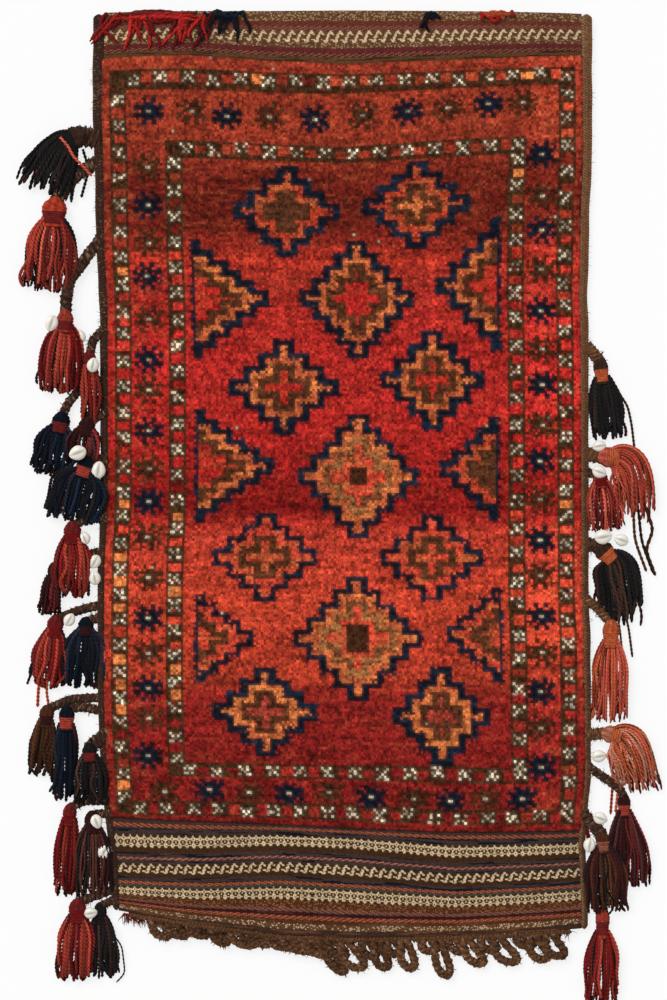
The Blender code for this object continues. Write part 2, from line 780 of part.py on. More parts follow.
RIGHT_TASSELS = (
    Tassel(1, 128, (262, 118), (267, 41), BLACK, stem_width=12, head_width=18,
           skirt_width=32),
    Tassel(1, 18, (262, 17), (302, -58), ORANGE, elbow=(288, 4), stem_width=14,
           head_width=20, skirt_width=46),
    Tassel(1, 2, (256, -6), (260, -60), RED, head_width=14, skirt_width=22),
    Tassel(1, -70, (264, -76), (277, -148), BLACK, stem_width=14, head_width=24,
           skirt_width=46),
    Tassel(1, -120, (266, -148), (267, -244), ORANGE, stem=((256, -132),), head_width=18,
           skirt_width=36),
    Tassel(1, -260, (264, -260), (300, -318), ORANGE, elbow=(286, -270), stem_width=14,
           skirt_width=42),
    Tassel(1, -284, (282, -320), (288, -416), MAROON, stem=((264, -302),), head_width=16,
           skirt_width=38),
    Tassel(1, -340, (255, -356), (261, -438), MAROON, stem_width=12, head_width=17,
           skirt_width=32),
    Tassel(1, -428, (259, -464), (257, -534), RED, stem=((256, -448),), head_width=15,
           skirt_width=32),
)


def build_tassels(side_name, tassels):
    """Lay one side's tassels from the mouth up, so each skirt lies on the head below it."""
    floor = Footprints()
    made = []
    for number, tassel in reversed(list(enumerate(tassels, start=1))):
        made.append(build_tassel(f"tassel_{side_name}_{number:02d}", tassel, floor))
    return made


# Shells, in millimetres: name, middle as seen from above and turn of their length in degrees
SHELLS = (
    ("shell_left_01", -292, 156, 70),
    ("shell_left_02", -266, 143, 100),
    ("shell_left_03", -254, 112, 80),
    ("shell_left_04", -268, 26, 20),
    ("shell_left_05", -250, 10, 80),
    ("shell_left_06", -262, -58, 110),
    ("shell_left_07", -244, -84, 60),
    ("shell_left_08", -243, -101, 100),
    ("shell_left_09", -277, -142, 60),
    ("shell_left_10", -248, -344, 110),
    ("shell_left_11", -242, -372, 60),
    ("shell_left_12", -256, -438, 10),
    ("shell_right_01", 255, 30, 10),
    ("shell_right_02", 254, 7, -20),
    ("shell_right_03", 258, -60, 10),
    ("shell_right_04", 276, -66, -20),
    ("shell_right_05", 248, -276, 10),
    ("shell_right_06", 255, -342, -20),
    ("shell_right_07", 246, -371, 80),
)


def world_triangles(items):
    """Vertices and triangles of several objects together."""
    depsgraph = bpy.context.evaluated_depsgraph_get()
    points = []
    triangles = []
    for item in items:
        mesh = item.evaluated_get(depsgraph).to_mesh()
        mesh.calc_loop_triangles()
        start = len(points)
        points += [item.matrix_world @ vert.co for vert in mesh.vertices]
        triangles += [[start + index for index in triangle.vertices]
                      for triangle in mesh.loop_triangles]
    return points, triangles


def probes(points, triangles):
    """Points spread over triangles: their corners, and their sides at every quarter."""
    spread = list(points)
    for corners in triangles:
        for first, second in zip(corners, corners[1:] + corners[:1]):
            spread += [points[first].lerp(points[second], share) for share in (0.25, 0.5, 0.75)]
    return spread


def shortest_drop(item, carrier_probes, carriers_tree):
    """How far an object can come straight down before it meets what is under it."""
    points, triangles = world_triangles([item])
    own_tree = BVHTree.FromPolygons(points, triangles)
    down = Vector((0, 0, -1))
    drops = [point.z for point in points]
    for point in probes(points, triangles):
        hit = carriers_tree.ray_cast(point, down)
        if hit[0]:
            drops.append(hit[3])
    low = Vector((min(p.x for p in points), min(p.y for p in points), 0))
    high = Vector((max(p.x for p in points), max(p.y for p in points), 0))
    for point in carrier_probes:
        if low.x < point.x < high.x and low.y < point.y < high.y:
            hit = own_tree.ray_cast(point, -down)
            if hit[0]:
                drops.append(hit[3])
    return min(drops)


def build_shells(carriers):
    """Cowrie shells, each let down onto the binding, stem or tassel head that carries it."""
    points, triangles = world_triangles(carriers)
    tree = BVHTree.FromPolygons(points, triangles)
    carrier_probes = probes(points, triangles)
    for name, x, y, turn in SHELLS:
        bm = bmesh.new()
        bmesh.ops.create_uvsphere(bm, u_segments=8, v_segments=4, radius=0.5)
        for vert in bm.verts:
            narrow = 1 - SHELL_TAPER * math.copysign(1, vert.co.x) * (2 * vert.co.x) ** 2
            vert.co = (vert.co.x * SHELL_LENGTH, vert.co.y * SHELL_WIDTH * narrow,
                       vert.co.z * SHELL_HEIGHT)
        shell = add_object(name, bm, [SHELL], smooth=True)
        shell.rotation_euler.z = math.radians(turn)
        shell.location = (x * MM, y * MM, DROP_FROM)
        bpy.context.view_layer.update()
        drop = shortest_drop(shell, carrier_probes, tree)
        shell.location.z = DROP_FROM - drop + SEAT_CLEARANCE


# Tufts along the fold, in millimetres: colour, left end, right end, lower and upper side
TUFTS = {
    "fold_tuft_red": (RED, -236, -144, 436, 469),
    "fold_tuft_navy": (NAVY, -140, -98, 436, 467),
    "fold_tuft_black": (BLACK, 70, 92, 440, 470),
    "fold_tuft_orange": (ORANGE, 134, 176, 455, 470),
}


def build_tuft(name, colour, left, right, low, high):
    """A flat tuft of loose ends lying across the fold's edge, in step with the cloth under it."""
    count = max(2, math.ceil((right - left) * MM / TUFT_STEP))
    last_rib = PILE_TOP_Y + FOLD_BANDS[-1][1] * MM
    rib_under = RIB_HEIGHT if low * MM < last_rib else 0.0
    bm = bmesh.new()
    rings = []
    for step in range(count + 1):
        along = step / count
        x = (left + along * (right - left)) * MM
        ends = TUFT_END if step in (0, count) else 1.0
        wave = TUFT_WAVE * (-1) ** step
        middle = 0.5 * (low + high) * MM
        half = 0.5 * (high - low) * MM * ends
        base = front_top(x, middle) + rib_under + TUFT_CLEARANCE
        top = base + TUFT_THICKNESS * ends
        upper = middle + half + wave
        lower = middle - half - 0.5 * wave
        corners = ((lower, base), (lower + 0.2 * half, top), (upper - 0.2 * half, top),
                   (upper, base + 0.5 * (top - base)), (upper - 0.3 * half, base))
        rings.append([bm.verts.new((x, y, z)) for y, z in corners])
    loft(bm, rings)
    return add_object(name, bm, [colour], smooth=True)


def main():
    """Build every piece of the bag."""
    clear_scene()
    for name in ("storage_bag", "cutters"):
        bpy.context.scene.collection.children.link(bpy.data.collections.new(name))
    build_cloth()
    build_pile()
    carriers = [build_binding("binding_left", -1), build_binding("binding_right", 1)]
    build_mouth_cord()
    carriers += build_tassels("left", LEFT_TASSELS)
    carriers += build_tassels("right", RIGHT_TASSELS)
    build_shells(carriers)
    for name, (colour, left, right, low, high) in TUFTS.items():
        build_tuft(name, colour, left, right, low, high)


main()
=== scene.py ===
"""Dresses the woven storage bag: pile face, flat weave, hair bindings, tassels and shells.

The bag lies on its back, seen from straight above. +X is to the right, +Y runs from the mouth to
the folded end and +Z is up through the pile. Sizes are in metres, written as millimetres * MM.
"""

import logging
import math
from dataclasses import dataclass
from enum import Enum

import bpy
import numpy as np
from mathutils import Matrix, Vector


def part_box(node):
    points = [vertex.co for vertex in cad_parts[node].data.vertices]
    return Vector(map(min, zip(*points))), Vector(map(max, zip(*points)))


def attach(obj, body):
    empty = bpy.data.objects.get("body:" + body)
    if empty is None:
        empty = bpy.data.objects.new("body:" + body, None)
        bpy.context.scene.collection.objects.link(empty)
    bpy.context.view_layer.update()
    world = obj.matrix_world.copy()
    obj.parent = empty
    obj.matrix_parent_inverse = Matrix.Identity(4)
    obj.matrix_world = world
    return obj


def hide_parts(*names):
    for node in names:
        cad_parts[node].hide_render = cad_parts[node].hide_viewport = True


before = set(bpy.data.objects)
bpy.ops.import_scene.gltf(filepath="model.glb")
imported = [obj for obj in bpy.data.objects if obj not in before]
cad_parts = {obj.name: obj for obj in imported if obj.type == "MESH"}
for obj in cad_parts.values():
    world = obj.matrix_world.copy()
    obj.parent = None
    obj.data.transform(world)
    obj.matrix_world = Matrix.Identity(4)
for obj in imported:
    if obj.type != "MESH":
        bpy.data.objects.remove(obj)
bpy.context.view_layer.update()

MM = 0.001
FLOOR_GAP = 0.1 * MM
LOG = logging.getLogger("storage_bag")
Array = np.ndarray
Paths = np.ndarray
Random = np.random.Generator
Socket = bpy.types.NodeSocket
Material = bpy.types.Material
Piece = bpy.types.Object


def screen(red: float, green: float, blue: float) -> Array:
    """Linear light of a colour given in screen values from 0 to 255."""
    share = np.array([red, green, blue]) / 255
    return np.where(share > 0.04045, ((share + 0.055) / 1.055) ** 2.4, share / 12.92)


class Dye(Enum):
    """Colours of the wools and the hair, as screen values from 0 to 255."""

    NAVY = (13, 19, 31)
    BLUE = (22, 35, 50)
    BLACK = (26, 23, 23)
    WALNUT = (76, 41, 23)
    UMBER = (58, 36, 18)
    TAN = (150, 96, 54)
    HAIR = (58, 38, 29)
    WARM_HAIR = (92, 60, 38)
    GREY_HAIR = (126, 98, 74)
    CREAM = (236, 216, 184)
    SAND = (206, 180, 142)
    BEIGE = (178, 148, 110)
    RED = (172, 36, 31)
    BRICK = (172, 58, 35)
    CRIMSON = (108, 18, 18)
    RUST = (152, 56, 42)
    SCARLET = (194, 64, 44)
    ROSE = (180, 80, 62)
    WINE = (104, 30, 28)
    ORANGE = (176, 84, 48)
    APRICOT = (208, 116, 62)
    MAROON = (50, 19, 19)
    PURPLE = (78, 42, 42)
    PINK = (170, 104, 80)
    CLAY = (136, 80, 62)
    SLATE = (60, 46, 42)
    GREEN = (72, 72, 58)

    @property
    def light(self) -> Array:
        """The colour as three linear values."""
        return screen(*self.value)


class Value:
    """A shader socket that takes part in Python sums."""

    def __init__(self, sheet: "NodeSheet", socket: Socket) -> None:
        """Keep the socket and the node sheet it belongs to."""
        self.sheet = sheet
        self.socket = socket

    def _sum(self, operation: str, first: "Value | float", second: "Value | float") -> "Value":
        """One Math node on two values."""
        return self.sheet.node("ShaderNodeMath", {"operation": operation}, {0: first, 1: second})

    def __add__(self, other: "Value | float") -> "Value":
        """This value plus another."""
        return self._sum("ADD", self, other)

    def __sub__(self, other: "Value | float") -> "Value":
        """This value less another."""
        return self._sum("SUBTRACT", self, other)

    def __rsub__(self, other: float) -> "Value":
        """A number less this value."""
        return self._sum("SUBTRACT", other, self)

    def __mul__(self, other: "Value | float") -> "Value":
        """This value times another."""
        return self._sum("MULTIPLY", self, other)

    __radd__ = __add__
    __rmul__ = __mul__


class NodeSheet:
    """The node tree of one new material."""

    def __init__(self, name: str) -> None:
        """Make the material and empty its tree.

        Args:
            name: the material's name.
        """
        self.material = bpy.data.materials.new(name)
        self.material.use_nodes = True
        self.tree = self.material.node_tree
        self.tree.nodes.clear()

    def node(self, kind: str, settings: dict | None = None, inputs: dict | None = None,
             output: int | str = 0) -> Value:
        """Add a node.

        Args:
            kind: the node's type.
            settings: its properties, set first; "stops" gives a ramp's stops.
            inputs: sockets, by name or number, to a value, link or colour.
            output: the output that is handed back.

        Returns:
            The chosen output.
        """
        made = self.tree.nodes.new(kind)
        for key, setting in (settings or {}).items():
            if key == "stops":
                self._set_stops(made.color_ramp, setting)
            else:
                setattr(made, key, setting)
        for key, given in (inputs or {}).items():
            if isinstance(given, Value):
                self.tree.links.new(given.socket, made.inputs[key])
            else:
                made.inputs[key].default_value = given
        return Value(self, made.outputs[output]) if made.outputs else Value(self, None)

    @staticmethod
    def _set_stops(ramp: bpy.types.ColorRamp, stops: list) -> None:
        """Give a ramp its stops, each a position and a grey level."""
        while len(ramp.elements) < len(stops):
            ramp.elements.new(1.0)
        for element, (place, level) in zip(ramp.elements, stops):
            element.position = place
            element.color = (level, level, level, 1.0)

    def noise(self, vector: Value, scale: float, detail: float = 2.0) -> Value:
        """A noise value from 0 to 1 on the given coordinates."""
        return self.node("ShaderNodeTexNoise", {}, {"Vector": vector, "Scale": scale,
                                                    "Detail": detail})

    def stretched(self, source: Value, scale: tuple[float, float, float]) -> Value:
        """Coordinates stretched by a Mapping node."""
        return self.node("ShaderNodeMapping", {}, {"Vector": source, "Scale": scale})

    def blend(self, factor: Value | float, first: Value | tuple, second: Value | tuple,
              how: str = "MIX") -> Value:
        """A mix of two colours."""
        return self.node("ShaderNodeMix", {"data_type": "RGBA", "blend_type": how},
                         {0: factor, 6: first, 7: second}, 2)

    def finish(self, shader: Value) -> Material:
        """Join a shader to the material's output and hand the material back."""
        self.node("ShaderNodeOutputMaterial", {}, {"Surface": shader})
        return self.material


@dataclass(frozen=True)
class WoolFinish:
    """Matte wool or hair: the dye comes from the piece's own attribute.

    The dye is made lighter and darker by a fine noise stretched along the fibres and by a broad
    one for wear, and a bump from the fine noise gives the fibres.
    """

    name: str
    fibre: tuple[float, float, float] = (900.0, 260.0, 900.0)
    contrast: float = 0.5
    wear: float = 0.25
    relief: float = 0.6
    depth: float = 0.6 * MM
    roughness: float = 0.92
    shine: float = 0.08
    sheen: float = 0.03
    wear_scale: float = 28.0
    on_weave: bool = False

    def material(self) -> Material:
        """Build the material.

        Returns:
            The finished material.
        """
        sheet = NodeSheet(self.name)
        dye = sheet.node("ShaderNodeAttribute", {"attribute_name": "dye"})
        if self.on_weave:
            place = sheet.node("ShaderNodeUVMap", {"uv_map": "weave"})
        else:
            place = sheet.node("ShaderNodeTexCoord", {}, {}, "Object")
        fibres = sheet.noise(sheet.stretched(place, self.fibre), 1.0, 3.0)
        broad = sheet.noise(sheet.node("ShaderNodeTexCoord", {}, {}, "Object"),
                            self.wear_scale, 3.0)
        light = 1.0 + (fibres - 0.5) * (2.0 * self.contrast) + (broad - 0.5) * (2.0 * self.wear)
        grey = sheet.node("ShaderNodeCombineColor", {}, {0: light, 1: light, 2: light})
        colour = sheet.blend(1.0, dye, grey, "MULTIPLY")
        bump = sheet.node("ShaderNodeBump", {}, {"Strength": self.relief, "Distance": self.depth,
                                                 "Height": fibres})
        shader = sheet.node("ShaderNodeBsdfPrincipled", {}, {
            "Base Color": colour, "Roughness": self.roughness, "Normal": bump,
            "Specular IOR Level": self.shine, "Sheen Weight": self.sheen, "Sheen Roughness": 0.5})
        return sheet.finish(shader)


@dataclass(frozen=True)
class ShellFinish:
    """Polished shell: cream white with faint grey clouds, and darker where its lips meet, from
    painted shade in the slit that the dye attribute carries.
    """

    name: str = "polished_shell"

    def material(self) -> Material:
        """Build the material.

        Returns:
            The finished material.
        """
        sheet = NodeSheet(self.name)
        dye = sheet.node("ShaderNodeAttribute", {"attribute_name": "dye"})
        place = sheet.node("ShaderNodeTexCoord", {}, {}, "Object")
        clouds = sheet.noise(place, 260.0, 3.0)
        tint = sheet.blend(clouds, (1.0, 0.98, 0.94, 1.0), (0.86, 0.82, 0.74, 1.0))
        colour = sheet.blend(1.0, dye, tint, "MULTIPLY")
        shader = sheet.node("ShaderNodeBsdfPrincipled", {}, {
            "Base Color": colour, "Roughness": 0.32 + clouds * 0.15, "Coat Weight": 0.25})
        return sheet.finish(shader)


@dataclass(frozen=True)
class FloorFinish:
    """A pale floor that shows white to the camera and keeps a faint shadow."""

    name: str = "pale_floor"

    def material(self) -> Material:
        """Build the material.

        Returns:
            The finished material.
        """
        sheet = NodeSheet(self.name)
        paint = sheet.node("ShaderNodeBsdfDiffuse", {}, {"Color": (0.93, 0.93, 0.93, 1.0)})
        white = sheet.node("ShaderNodeEmission", {}, {"Color": (1.0, 1.0, 1.0, 1.0),
                                                      "Strength": 1.0})
        rays = ("Is Camera Ray", "Is Glossy Ray", "Is Transmission Ray")
        camera, glossy, through_glass = [sheet.node("ShaderNodeLightPath", {}, {}, ray)
                                         for ray in rays]
        seen = camera + glossy + through_glass
        both = sheet.node("ShaderNodeMixShader", {}, {0: seen * 0.8, 1: paint, 2: white})
        return sheet.finish(both)


class Stock:
    """Patches of surface with their dyes, gathered into one mesh object."""

    def __init__(self) -> None:
        """Start with no patches."""
        self.points: list[Array] = []
        self.faces: list[list] = []
        self.dyes: list[Array] = []
        self.weaves: list[Array] = []
        self.count = 0

    def add(self, points: Array, faces: Array, dyes: Array,
            weave: Array) -> None:
        """Add a patch.

        Args:
            points: (n, 3) places.
            faces: (m, k) corners of each face.
            dyes: (m, k, 3) colour at each corner.
            weave: (m, k, 2) cloth coordinates at each corner.
        """
        self.points.append(points)
        self.faces += (faces + self.count).tolist()
        self.dyes.append(dyes.reshape(-1, 3))
        self.weaves.append(weave.reshape(-1, 2))
        self.count += len(points)

    def make(self, name: str, finish: Material,
             node: str | None = None) -> Piece:
        """Turn the patches into a smooth mesh object that rides on the bag.

        Args:
            name: the object's name.
            finish: its material.
            node: the CAD node that it replaces, if it replaces one.

        Returns:
            The object.
        """
        mesh = bpy.data.meshes.new(name)
        mesh.from_pydata(np.concatenate(self.points).tolist(), [], self.faces)
        dyes = np.concatenate(self.dyes)
        rgba = np.ones((len(dyes), 4))
        rgba[:, :3] = np.clip(dyes, 0.0, 1.0)
        mesh.color_attributes.new("dye", "FLOAT_COLOR", "CORNER").data.foreach_set(
            "color", rgba.ravel())
        mesh.uv_layers.new(name="weave").data.foreach_set(
            "uv", np.concatenate(self.weaves).ravel())
        mesh.shade_smooth()
        mesh.materials.append(finish)
        made = bpy.data.objects.new(name, mesh)
        bpy.context.scene.collection.objects.link(made)
        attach(made, "root")
        if node:
            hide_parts(node)
        LOG.info("%s: %d faces", name, len(self.faces))
        return made


def grid_faces(rows: int, columns: int, round_rows: bool = False) -> Array:
    """Corners of the quads of a grid of points.

    Args:
        rows: rows of points.
        columns: columns of points.
        round_rows: whether the last column joins the first.

    Returns:
        (faces, 4) point numbers, down a row first, so that rows that run away from the viewer's
        top and columns that run to the right face upwards.
    """
    row = np.arange(rows - 1)[:, None] * columns
    if round_rows:
        first = np.arange(columns)
        second = (first + 1) % columns
    else:
        first = np.arange(columns - 1)
        second = first + 1
    quads = np.stack([row + first, row + columns + first, row + columns + second, row + second],
                     axis=-1)
    return quads.reshape(-1, 4)


def add_tubes(stock: Stock, rings: Array, dyes: Array) -> None:
    """Skin rings carried along paths, and close both ends.

    Args:
        stock: where the patch goes.
        rings: (paths, steps, sides, 3) points; the sides turn against the path's direction.
        dyes: (paths, steps, sides, 3) colours.
    """
    paths, steps, sides, _ = rings.shape
    base = (np.arange(paths) * steps * sides)[:, None, None]
    quads = (grid_faces(steps, sides, True)[None] + base).reshape(-1, 4)
    points = rings.reshape(-1, 3)
    flat = dyes.reshape(-1, 3)
    lengths = np.linalg.norm(np.diff(rings.mean(axis=2), axis=1), axis=-1)
    along = np.concatenate([np.zeros((paths, 1)), np.cumsum(lengths, axis=1)], axis=1)
    around = np.arange(sides) / sides
    weave = np.stack(np.broadcast_arrays(around[None, None, :], along[:, :, None]), axis=-1)
    weave = weave.reshape(-1, 2)
    stock.add(points, quads, flat[quads], weave[quads])
    first = np.arange(sides)[None, :] + base[:, 0]
    last = (steps - 1) * sides + first[:, ::-1]
    ends = np.concatenate([first, last])
    stock.faces += (ends + stock.count - len(points)).tolist()
    stock.dyes.append(flat[ends].reshape(-1, 3))
    stock.weaves.append(weave[ends].reshape(-1, 2))


def rings_along(paths: Paths, width: Array, height: Array, sides: int,
                swell: Array | float = 1.0) -> Array:
    """Carry an ellipse along each path.

    A ring's point is path + side * width * cos(angle) * swell + up * height * sin(angle) * swell,
    where side is square to the path and level, and up is square to both. No point goes lower
    than the floor gap.

    Args:
        paths: (paths, steps, 3) centre lines.
        width: (paths, steps) half widths, or anything that spreads to it.
        height: (paths, steps) half heights, or anything that spreads to it.
        sides: points of a ring.
        swell: (paths, steps, sides) factor on the radius.

    Returns:
        (paths, steps, sides, 3) points.
    """
    tangent = np.gradient(paths, axis=1)
    tangent /= np.linalg.norm(tangent, axis=-1, keepdims=True) + 1e-12
    side = np.cross(tangent, np.array([0.0, 0.0, 1.0]))
    side /= np.linalg.norm(side, axis=-1, keepdims=True) + 1e-9
    up = np.cross(side, tangent)
    angle = 2 * np.pi * np.arange(sides) / sides
    shape = paths.shape[:2]
    wide = np.broadcast_to(width, shape)[..., None] * np.cos(angle) * swell
    high = np.broadcast_to(height, shape)[..., None] * np.sin(angle) * swell
    rings = paths[:, :, None] + side[:, :, None] * wide[..., None]
    rings = rings + up[:, :, None] * high[..., None]
    rings[..., 2] = np.maximum(rings[..., 2], FLOOR_GAP)
    return rings


def path_lengths(paths: Paths) -> Array:
    """Length of each path."""
    return np.linalg.norm(np.diff(paths, axis=1), axis=-1).sum(axis=1)


def plied(shape: tuple[int, int, int], turns: Array, plies: int = 2,
          depth: float = 0.2) -> Array:
    """Swell of a plied yarn: 1 - depth + depth * cos(plies * (angle - twist)).

    Args:
        shape: paths, steps and sides.
        turns: (paths,) turns of the twist from end to end.
        plies: yarns twisted together.
        depth: how deep the grooves are, as a share of the radius.

    Returns:
        The swell of every point of every ring.
    """
    paths, steps, sides = shape
    angle = 2 * np.pi * np.arange(sides) / sides
    along = np.linspace(0, 1, steps)
    twist = 2 * np.pi * np.broadcast_to(turns, (paths,))[:, None] * along
    return 1 - depth + depth * np.cos(plies * (angle[None, None] - twist[..., None]))


def bezier(start: Array, bend: Array, end: Array, steps: int) -> Paths:
    """Paths (1-t)^2 start + 2t(1-t) bend + t^2 end, from (paths, 3) points."""
    t = np.linspace(0, 1, steps)[None, :, None]
    return (1 - t) ** 2 * start[:, None] + 2 * t * (1 - t) * bend[:, None] + t ** 2 * end[:, None]


def through(points: list[tuple[float, float, float]], steps: int) -> Paths:
    """One smooth path through points, evenly spaced along its length.

    Each coordinate is interpolated along the chord length and then averaged with a sliding
    window, which rounds the corners and keeps the ends.
    """
    route = np.array(points)
    chord = np.concatenate([[0], np.cumsum(np.linalg.norm(np.diff(route, axis=0), axis=1))])
    along = np.linspace(0, chord[-1], steps)
    path = np.stack([np.interp(along, chord, route[:, axis]) for axis in range(3)], axis=1)
    reach = max(1, steps // (2 * len(points)))
    kernel = np.hanning(2 * reach + 3)[1:-1]
    kernel /= kernel.sum()
    before = 2 * path[:1] - path[1:reach + 1][::-1]
    after = 2 * path[-1:] - path[-reach - 1:-1][::-1]
    padded = np.concatenate([before, path, after])
    smooth = np.stack([np.convolve(padded[:, axis], kernel, "valid") for axis in range(3)], axis=1)
    return smooth[None]


@dataclass
class BagShape:
    """Outline and thickness of the bag as laid flat.

    The cloth is measured in woven coordinates: u runs from the left edge to the right one, and v
    down the front. Real heights of the woven lines are known at a few places across, and what
    lies between is interpolated.
    """

    cloth_thickness: float = 2.4 * MM
    edge_slit: float = 0.6 * MM
    pocket: float = 11 * MM
    crown_reach: float = 74 * MM
    ripple: float = 0.7 * MM
    fold_level: float = 10.0
    mouth_level: float = 933.0

    # Outer edges of the bindings: height, then place across, in millimetres
    LEFT = ((467, -253), (368, -254), (328, -252), (278, -251), (228, -250), (198, -248),
            (168, -246.5), (8, -245.5), (-42, -246), (-82, -248.5), (-172, -249), (-222, -248.5),
            (-262, -247), (-302, -244), (-332, -242), (-372, -237), (-402, -234), (-459, -233))
    RIGHT = ((467, 248.5), (318, 248.5), (278, 246), (218, 245), (183, 243.5), (148, 245),
             (-122, 245), (-162, 247), (-302, 247.5), (-332, 244), (-372, 241), (-412, 244),
             (-459, 244))
    # Widths of the bindings: height, then width, in millimetres
    BINDING = ((-460, 6.0), (-330, 6.5), (-150, 7.6), (100, 8.8), (300, 9.8), (467, 10.8))
    # Woven lines: v, then their real heights at the places across given by ACROSS
    ACROSS = (0.0, 0.18, 0.35, 0.505, 0.727, 1.0)
    LINES = (
        (10, (467, 468, 468, 468.5, 468, 466)),
        (57, (421, 423, 417, 414, 418, 424)),
        (80, (398, 398, 396, 394, 398, 403)),
        (112, (366, 366, 360, 360, 370, 375)),
        (149, (330, 329, 326, 322, 329, 336)),
        (165, (313, 313, 311, 309, 315, 320)),
        (300, (178, 178, 178, 178, 178, 179)),
        (640, (-162, -162, -162, -162, -163, -163)),
        (770, (-290, -290, -292, -293, -295, -298)),
        (794, (-312, -312, -313, -316, -322, -322)),
        (815, (-333, -334, -336, -338, -342, -343)),
        (827, (-340, -343, -346, -350, -354, -353)),
        (846, (-364, -364.5, -362, -364.5, -374, -371.5)),
        (872, (-390.5, -391.5, -388.5, -392.5, -401, -395.5)),
        (899, (-414, -416.5, -414, -418, -424, -418)),
        (926, (-429, -440, -448, -451, -451, -444)),
        (933, (-434, -446, -457, -460, -458, -452)),
    )

    def edge(self, side: int, y: Array) -> Array:
        """Place across of a binding's outer edge at heights y; side is -1 or +1."""
        track = np.array(self.LEFT if side < 0 else self.RIGHT)[::-1] * MM
        heights = np.arange(-0.52, 0.52, 0.004)
        rough = np.interp(heights, track[:, 0], track[:, 1])
        kernel = np.hanning(15)
        smooth = np.convolve(np.pad(rough, 7, "edge"), kernel / kernel.sum(), "valid")
        return np.interp(y, heights, smooth)

    def cloth_edge(self, side: int, y: Array) -> Array:
        """Place across of the cloth's own edge, inside the binding."""
        return self.edge(side, y) - side * self.binding(y)

    def binding(self, y: Array) -> Array:
        """Width of a binding at heights y."""
        track = np.array(self.BINDING) * MM
        return np.interp(y, track[:, 0], track[:, 1])

    def height(self, u: Array, v: Array) -> Array:
        """Real height of woven points, by interpolation along u and then along v."""
        nominal = np.array([line[0] for line in self.LINES], dtype=float)
        real = np.array([line[1] for line in self.LINES]) * MM
        across = np.stack([np.interp(u, self.ACROSS, row) for row in real], axis=-1)
        place = np.clip(np.searchsorted(nominal, v, side="right") - 1, 0, len(nominal) - 2)
        low = np.take_along_axis(across, place[..., None], axis=-1)[..., 0]
        high = np.take_along_axis(across, place[..., None] + 1, axis=-1)[..., 0]
        share = (v - nominal[place]) / (nominal[place + 1] - nominal[place])
        return low + share * (high - low)

    def place(self, u: Array, v: Array, overlap: float = 0.0) -> tuple[Array, Array]:
        """Real places across and real heights of woven points.

        Args:
            u: woven places across.
            v: woven heights.
            overlap: how far the first and last points lie past the cloth's edges.

        Returns:
            The places across and the heights, in metres.
        """
        y = self.height(u, v)
        left, right = self.cloth_edge(-1, y) - overlap, self.cloth_edge(1, y) + overlap
        return left + u * (right - left), y

    def woven(self, x: float, y: float) -> tuple[float, float]:
        """Woven coordinates of a real point, in metres."""
        left, right = self.cloth_edge(-1, y), self.cloth_edge(1, y)
        u = float((x - left) / (right - left))
        lines = np.linspace(self.fold_level, self.mouth_level, 924)
        heights = self.height(np.full(lines.shape, u), lines)
        return u, float(np.interp(-y, -heights, lines))

    def crown(self, x: Array, y: Array) -> Array:
        """Height of the front cloth's upper side.

        The pocket opens from the slit at the edge as 1 - (1 - inset/reach)^2.2, and long shallow
        waves are added that die out at the edges.
        """
        inset = np.minimum(x - self.cloth_edge(-1, y), self.cloth_edge(1, y) - x)
        rise = 1 - (1 - np.clip(inset / self.crown_reach, 0, 1)) ** 2.2
        waves = (np.sin(31 * x + 17 * y) + np.sin(47 * y - 12 * x + 1.0)
                 + 0.6 * np.sin(75 * x - 22 * y + 2.0))
        pocket = self.edge_slit + (self.pocket - self.edge_slit) * rise
        return 2 * self.cloth_thickness + pocket + self.ripple * rise * waves * 0.5

    def face(self, x: Array, y: Array) -> Array:
        """Height of the front's outer side, which turns down over the fold in a quarter circle."""
        radius = 0.5 * self.crown(x, y)
        fold = self.LINES[0][1][1] * MM
        past = np.clip((y - fold + radius) / radius, 0, 1)
        return radius + radius * np.sqrt(1 - past ** 2)


def streaks(rng: Random, rows: int, columns: int, run: int) -> Array:
    """Noise from 0 to 1 in runs along each row, as a weaver's yarn changes along a weft.

    Each row has its own random values every few columns, joined by straight lines and mixed with
    the row above.
    """
    coarse = rng.random((rows, columns // run + 3))
    places = np.arange(columns) / run + rng.random(rows)[:, None]
    base = places.astype(int)
    share = places - base
    index = np.arange(rows)[:, None]
    fine = coarse[index, base] * (1 - share) + coarse[index, base + 1] * share
    return 0.55 * fine + 0.45 * np.roll(fine, 1, axis=0)


def tint(rng: Random, base: Array, spread: float) -> Array:
    """Lighten and darken each colour of an array by its own random share."""
    factor = 1 + spread * rng.standard_normal(base.shape[:-1])
    return base * np.clip(factor, 0.35, 1.9)[..., None]


def add_hairs(stock: Stock, rng: Random, start: Array, reach: Array,
              base: Array) -> None:
    """Add thin curved hairs.

    Args:
        stock: where they go.
        rng: random numbers for their curves and shades.
        start: (hairs, 3) roots.
        reach: (hairs, 3) ways from root to tip.
        base: (hairs, 3) dyes.
    """
    steps = 8
    bend = start + 0.5 * reach + rng.uniform(-2.5, 2.5, start.shape) * MM
    paths = bezier(start, bend, start + reach, steps)
    width = rng.uniform(0.4, 1.0, (len(base), 1)) * np.linspace(1, 0.25, steps)[None] * MM
    rings = rings_along(paths, width, width, 3)
    dyes = np.broadcast_to(tint(rng, base, 0.3)[:, None, None], rings.shape)
    add_tubes(stock, rings, dyes)


